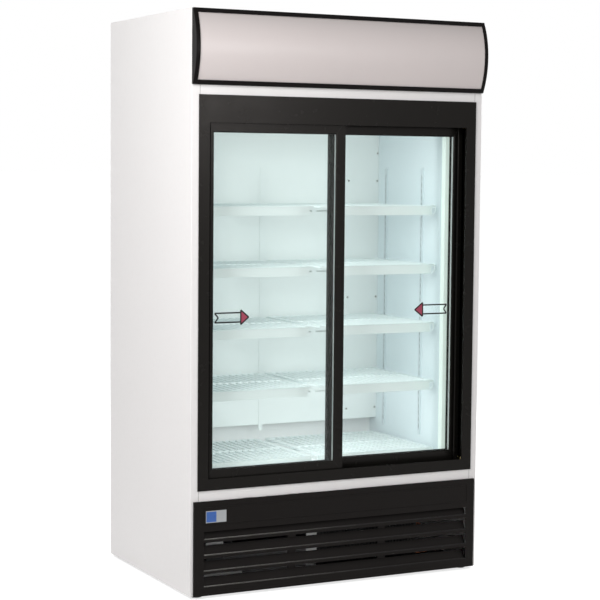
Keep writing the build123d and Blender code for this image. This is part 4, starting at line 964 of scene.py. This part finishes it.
for k in range(SPOKES):
    a = 2 * math.pi * k / SPOKES + FIRST_SPOKE
    path = [(fan_x + r * math.cos(a), y, fan_z + r * math.sin(a)) for r, y in spoke]
    wire(bm, path, SPOKE_WIRE, 6)
piece("evaporator_fan_guard", bm, finishes["hanger_steel"], "cabinet", smooth=50)
print("guard radius", GUARD_REACH, "mm round the fan at", round(fan_x), round(fan_z))

# %% [markdown]
# ## Camera
# The photograph was taken from the left and a little above half height. The camera stands where
# a fit of the cabinet's edges in the picture puts it, with the same long lens.

# %% Camera
CAMERA_AT = Vector((-2.8969, -5.6992, 1.4623))
CAMERA_TURN = (27.113, -4.318, 0.503)  # yaw, pitch and roll in degrees
SENSOR = 36
FOCAL_PIXELS, PICTURE_PIXELS = 1745, 600
yaw, pitch, roll = (math.radians(a) for a in CAMERA_TURN)
ahead = Vector((math.sin(yaw) * math.cos(pitch), math.cos(yaw) * math.cos(pitch), math.sin(pitch)))
level = Vector((math.cos(yaw), -math.sin(yaw), 0))
above = level.cross(ahead)
right = math.cos(roll) * level + math.sin(roll) * above
upward = -math.sin(roll) * level + math.cos(roll) * above
camera_data = bpy.data.cameras.new("camera")
camera_data.sensor_width = SENSOR
camera_data.lens = SENSOR * FOCAL_PIXELS / PICTURE_PIXELS
camera = bpy.data.objects.new("camera", camera_data)
bpy.context.scene.collection.objects.link(camera)
turn = Matrix((right, upward, -ahead)).transposed().to_4x4()
camera.matrix_world = Matrix.Translation(CAMERA_AT) @ turn
bpy.context.scene.camera = camera
print("lens", round(camera_data.lens, 1), "mm at", [round(v, 2) for v in CAMERA_AT])

# %% [markdown]
# ## Studio
# A pale floor that runs into a white background, a soft lamp on the left that lights the side
# panel, one behind on the right for the far sides, and one in front for the canopy and the
# black profiles. The cabinet's own lamps light the shelves, and three weak sheets of light
# inside it stand in for them. The floor adds a little light of its own for the camera and for
# reflections only, so that it is as white as the background and keeps a soft shadow.

# %% Floor, background and lamps
FLOOR_REACH, FLOOR_GLOW = 400, 0.72
FLOOR_DARK, FLOOR_LIGHT = (0.7, 0.7, 0.7), (0.74, 0.74, 0.74)
AMBIENT = 0.4


def seen_directly(tree):
    """1 for a ray that shows the background itself, straight, mirrored or through glass."""
    rays = tree.nodes.new("ShaderNodeLightPath")
    first = rays.outputs["Is Camera Ray"]
    for name in ("Is Glossy Ray", "Is Transmission Ray"):
        either = tree.nodes.new("ShaderNodeMath")
        either.operation = "MAXIMUM"
        tree.links.new(first, either.inputs[0])
        tree.links.new(rays.outputs[name], either.inputs[1])
        first = either.outputs[0]
    return first


def studio_floor():
    """Flat floor, far larger than the picture."""
    bm = bmesh.new()
    bmesh.ops.create_grid(bm, x_segments=2, y_segments=2, size=FLOOR_REACH)
    mesh = bpy.data.meshes.new("floor")
    bm.to_mesh(mesh)
    bm.free()
    floor = bpy.data.objects.new("floor", mesh)
    bpy.context.scene.collection.objects.link(floor)
    g = Graph("pale floor")
    tint = g.blend(g.noise(3, 4), FLOOR_DARK, FLOOR_LIGHT)
    grain = g.height(g.noise(200, 2), 0.0002, 0.2)
    base = g.add("ShaderNodeBsdfDiffuse", {"Color": tint, "Normal": grain})
    strength = g.math("MULTIPLY", seen_directly(g.tree), FLOOR_GLOW)
    glow = g.add("ShaderNodeEmission", {"Strength": strength})
    both = g.add("ShaderNodeAddShader", {0: base.outputs[0], 1: glow.outputs[0]}).outputs[0]
    mesh.materials.append(g.finish(both))
    floor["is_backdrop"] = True


def lamp(name, at, aim, size, power, hidden=False):
    """Flat lamp at a place that faces another; a hidden one gives light and isn't seen."""
    data = bpy.data.lights.new(name, "AREA")
    data.shape = "RECTANGLE"
    data.size, data.size_y = size
    data.energy = power
    made = bpy.data.objects.new(name, data)
    made.location = at
    made.rotation_euler = (Vector(aim) - Vector(at)).to_track_quat("-Z", "Y").to_euler()
    if hidden:
        made.visible_camera = made.visible_glossy = made.visible_transmission = False
    bpy.context.scene.collection.objects.link(made)
    made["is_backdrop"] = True


def white_world():
    """White where it is seen, and a softer even light on everything else."""
    world = bpy.data.worlds.new("white studio")
    world.use_nodes = True
    tree = world.node_tree
    tree.nodes.clear()
    strength = tree.nodes.new("ShaderNodeMapRange")
    strength.inputs["To Min"].default_value = AMBIENT
    strength.inputs["To Max"].default_value = 1.0
    tree.links.new(seen_directly(tree), strength.inputs["Value"])
    shine = tree.nodes.new("ShaderNodeBackground")
    shine.inputs["Color"].default_value = (1, 1, 1, 1)
    tree.links.new(strength.outputs["Result"], shine.inputs["Strength"])
    out = tree.nodes.new("ShaderNodeOutputWorld")
    tree.links.new(shine.outputs[0], out.inputs["Surface"])
    bpy.context.scene.world = world


studio_floor()
lamp("left softbox", at=(-2.4, -1.7, 2.3), aim=(-0.57, 0, 1.4), size=(1.4, 1.4), power=59)
lamp("front softbox", at=(1.95, -6.2, 2.22), aim=(0, -0.36, 1.7), size=(0.9, 0.9), power=43.5)
lamp("right softbox", at=(3.0, 2.4, 2.4), aim=(0.4, 0.2, 1.1), size=(1.6, 1.6), power=80)
lamp("shelf light", at=(0.06, -0.16, 1.04), aim=(0.06, 1, 1.04), size=(0.82, 1.32),
     power=3.05, hidden=True)
lamp("front shelf light", at=(0, -0.262, 1.1), aim=(0, 1, 1.1), size=(0.84, 1.4),
     power=1.6, hidden=True)
lamp("rack light", at=(0.12, 0.05, 0.64), aim=(0.12, 0.05, 0), size=(0.76, 0.42),
     power=0.42, hidden=True)
white_world()
bpy.context.scene.view_settings.view_transform = "Standard"

# %% Sizes and finish
def plain(value):
    return [plain(v) for v in value] if hasattr(value, "__len__") else float(value)


{"start": plain(bounds_at_start), "end": plain(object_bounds())}
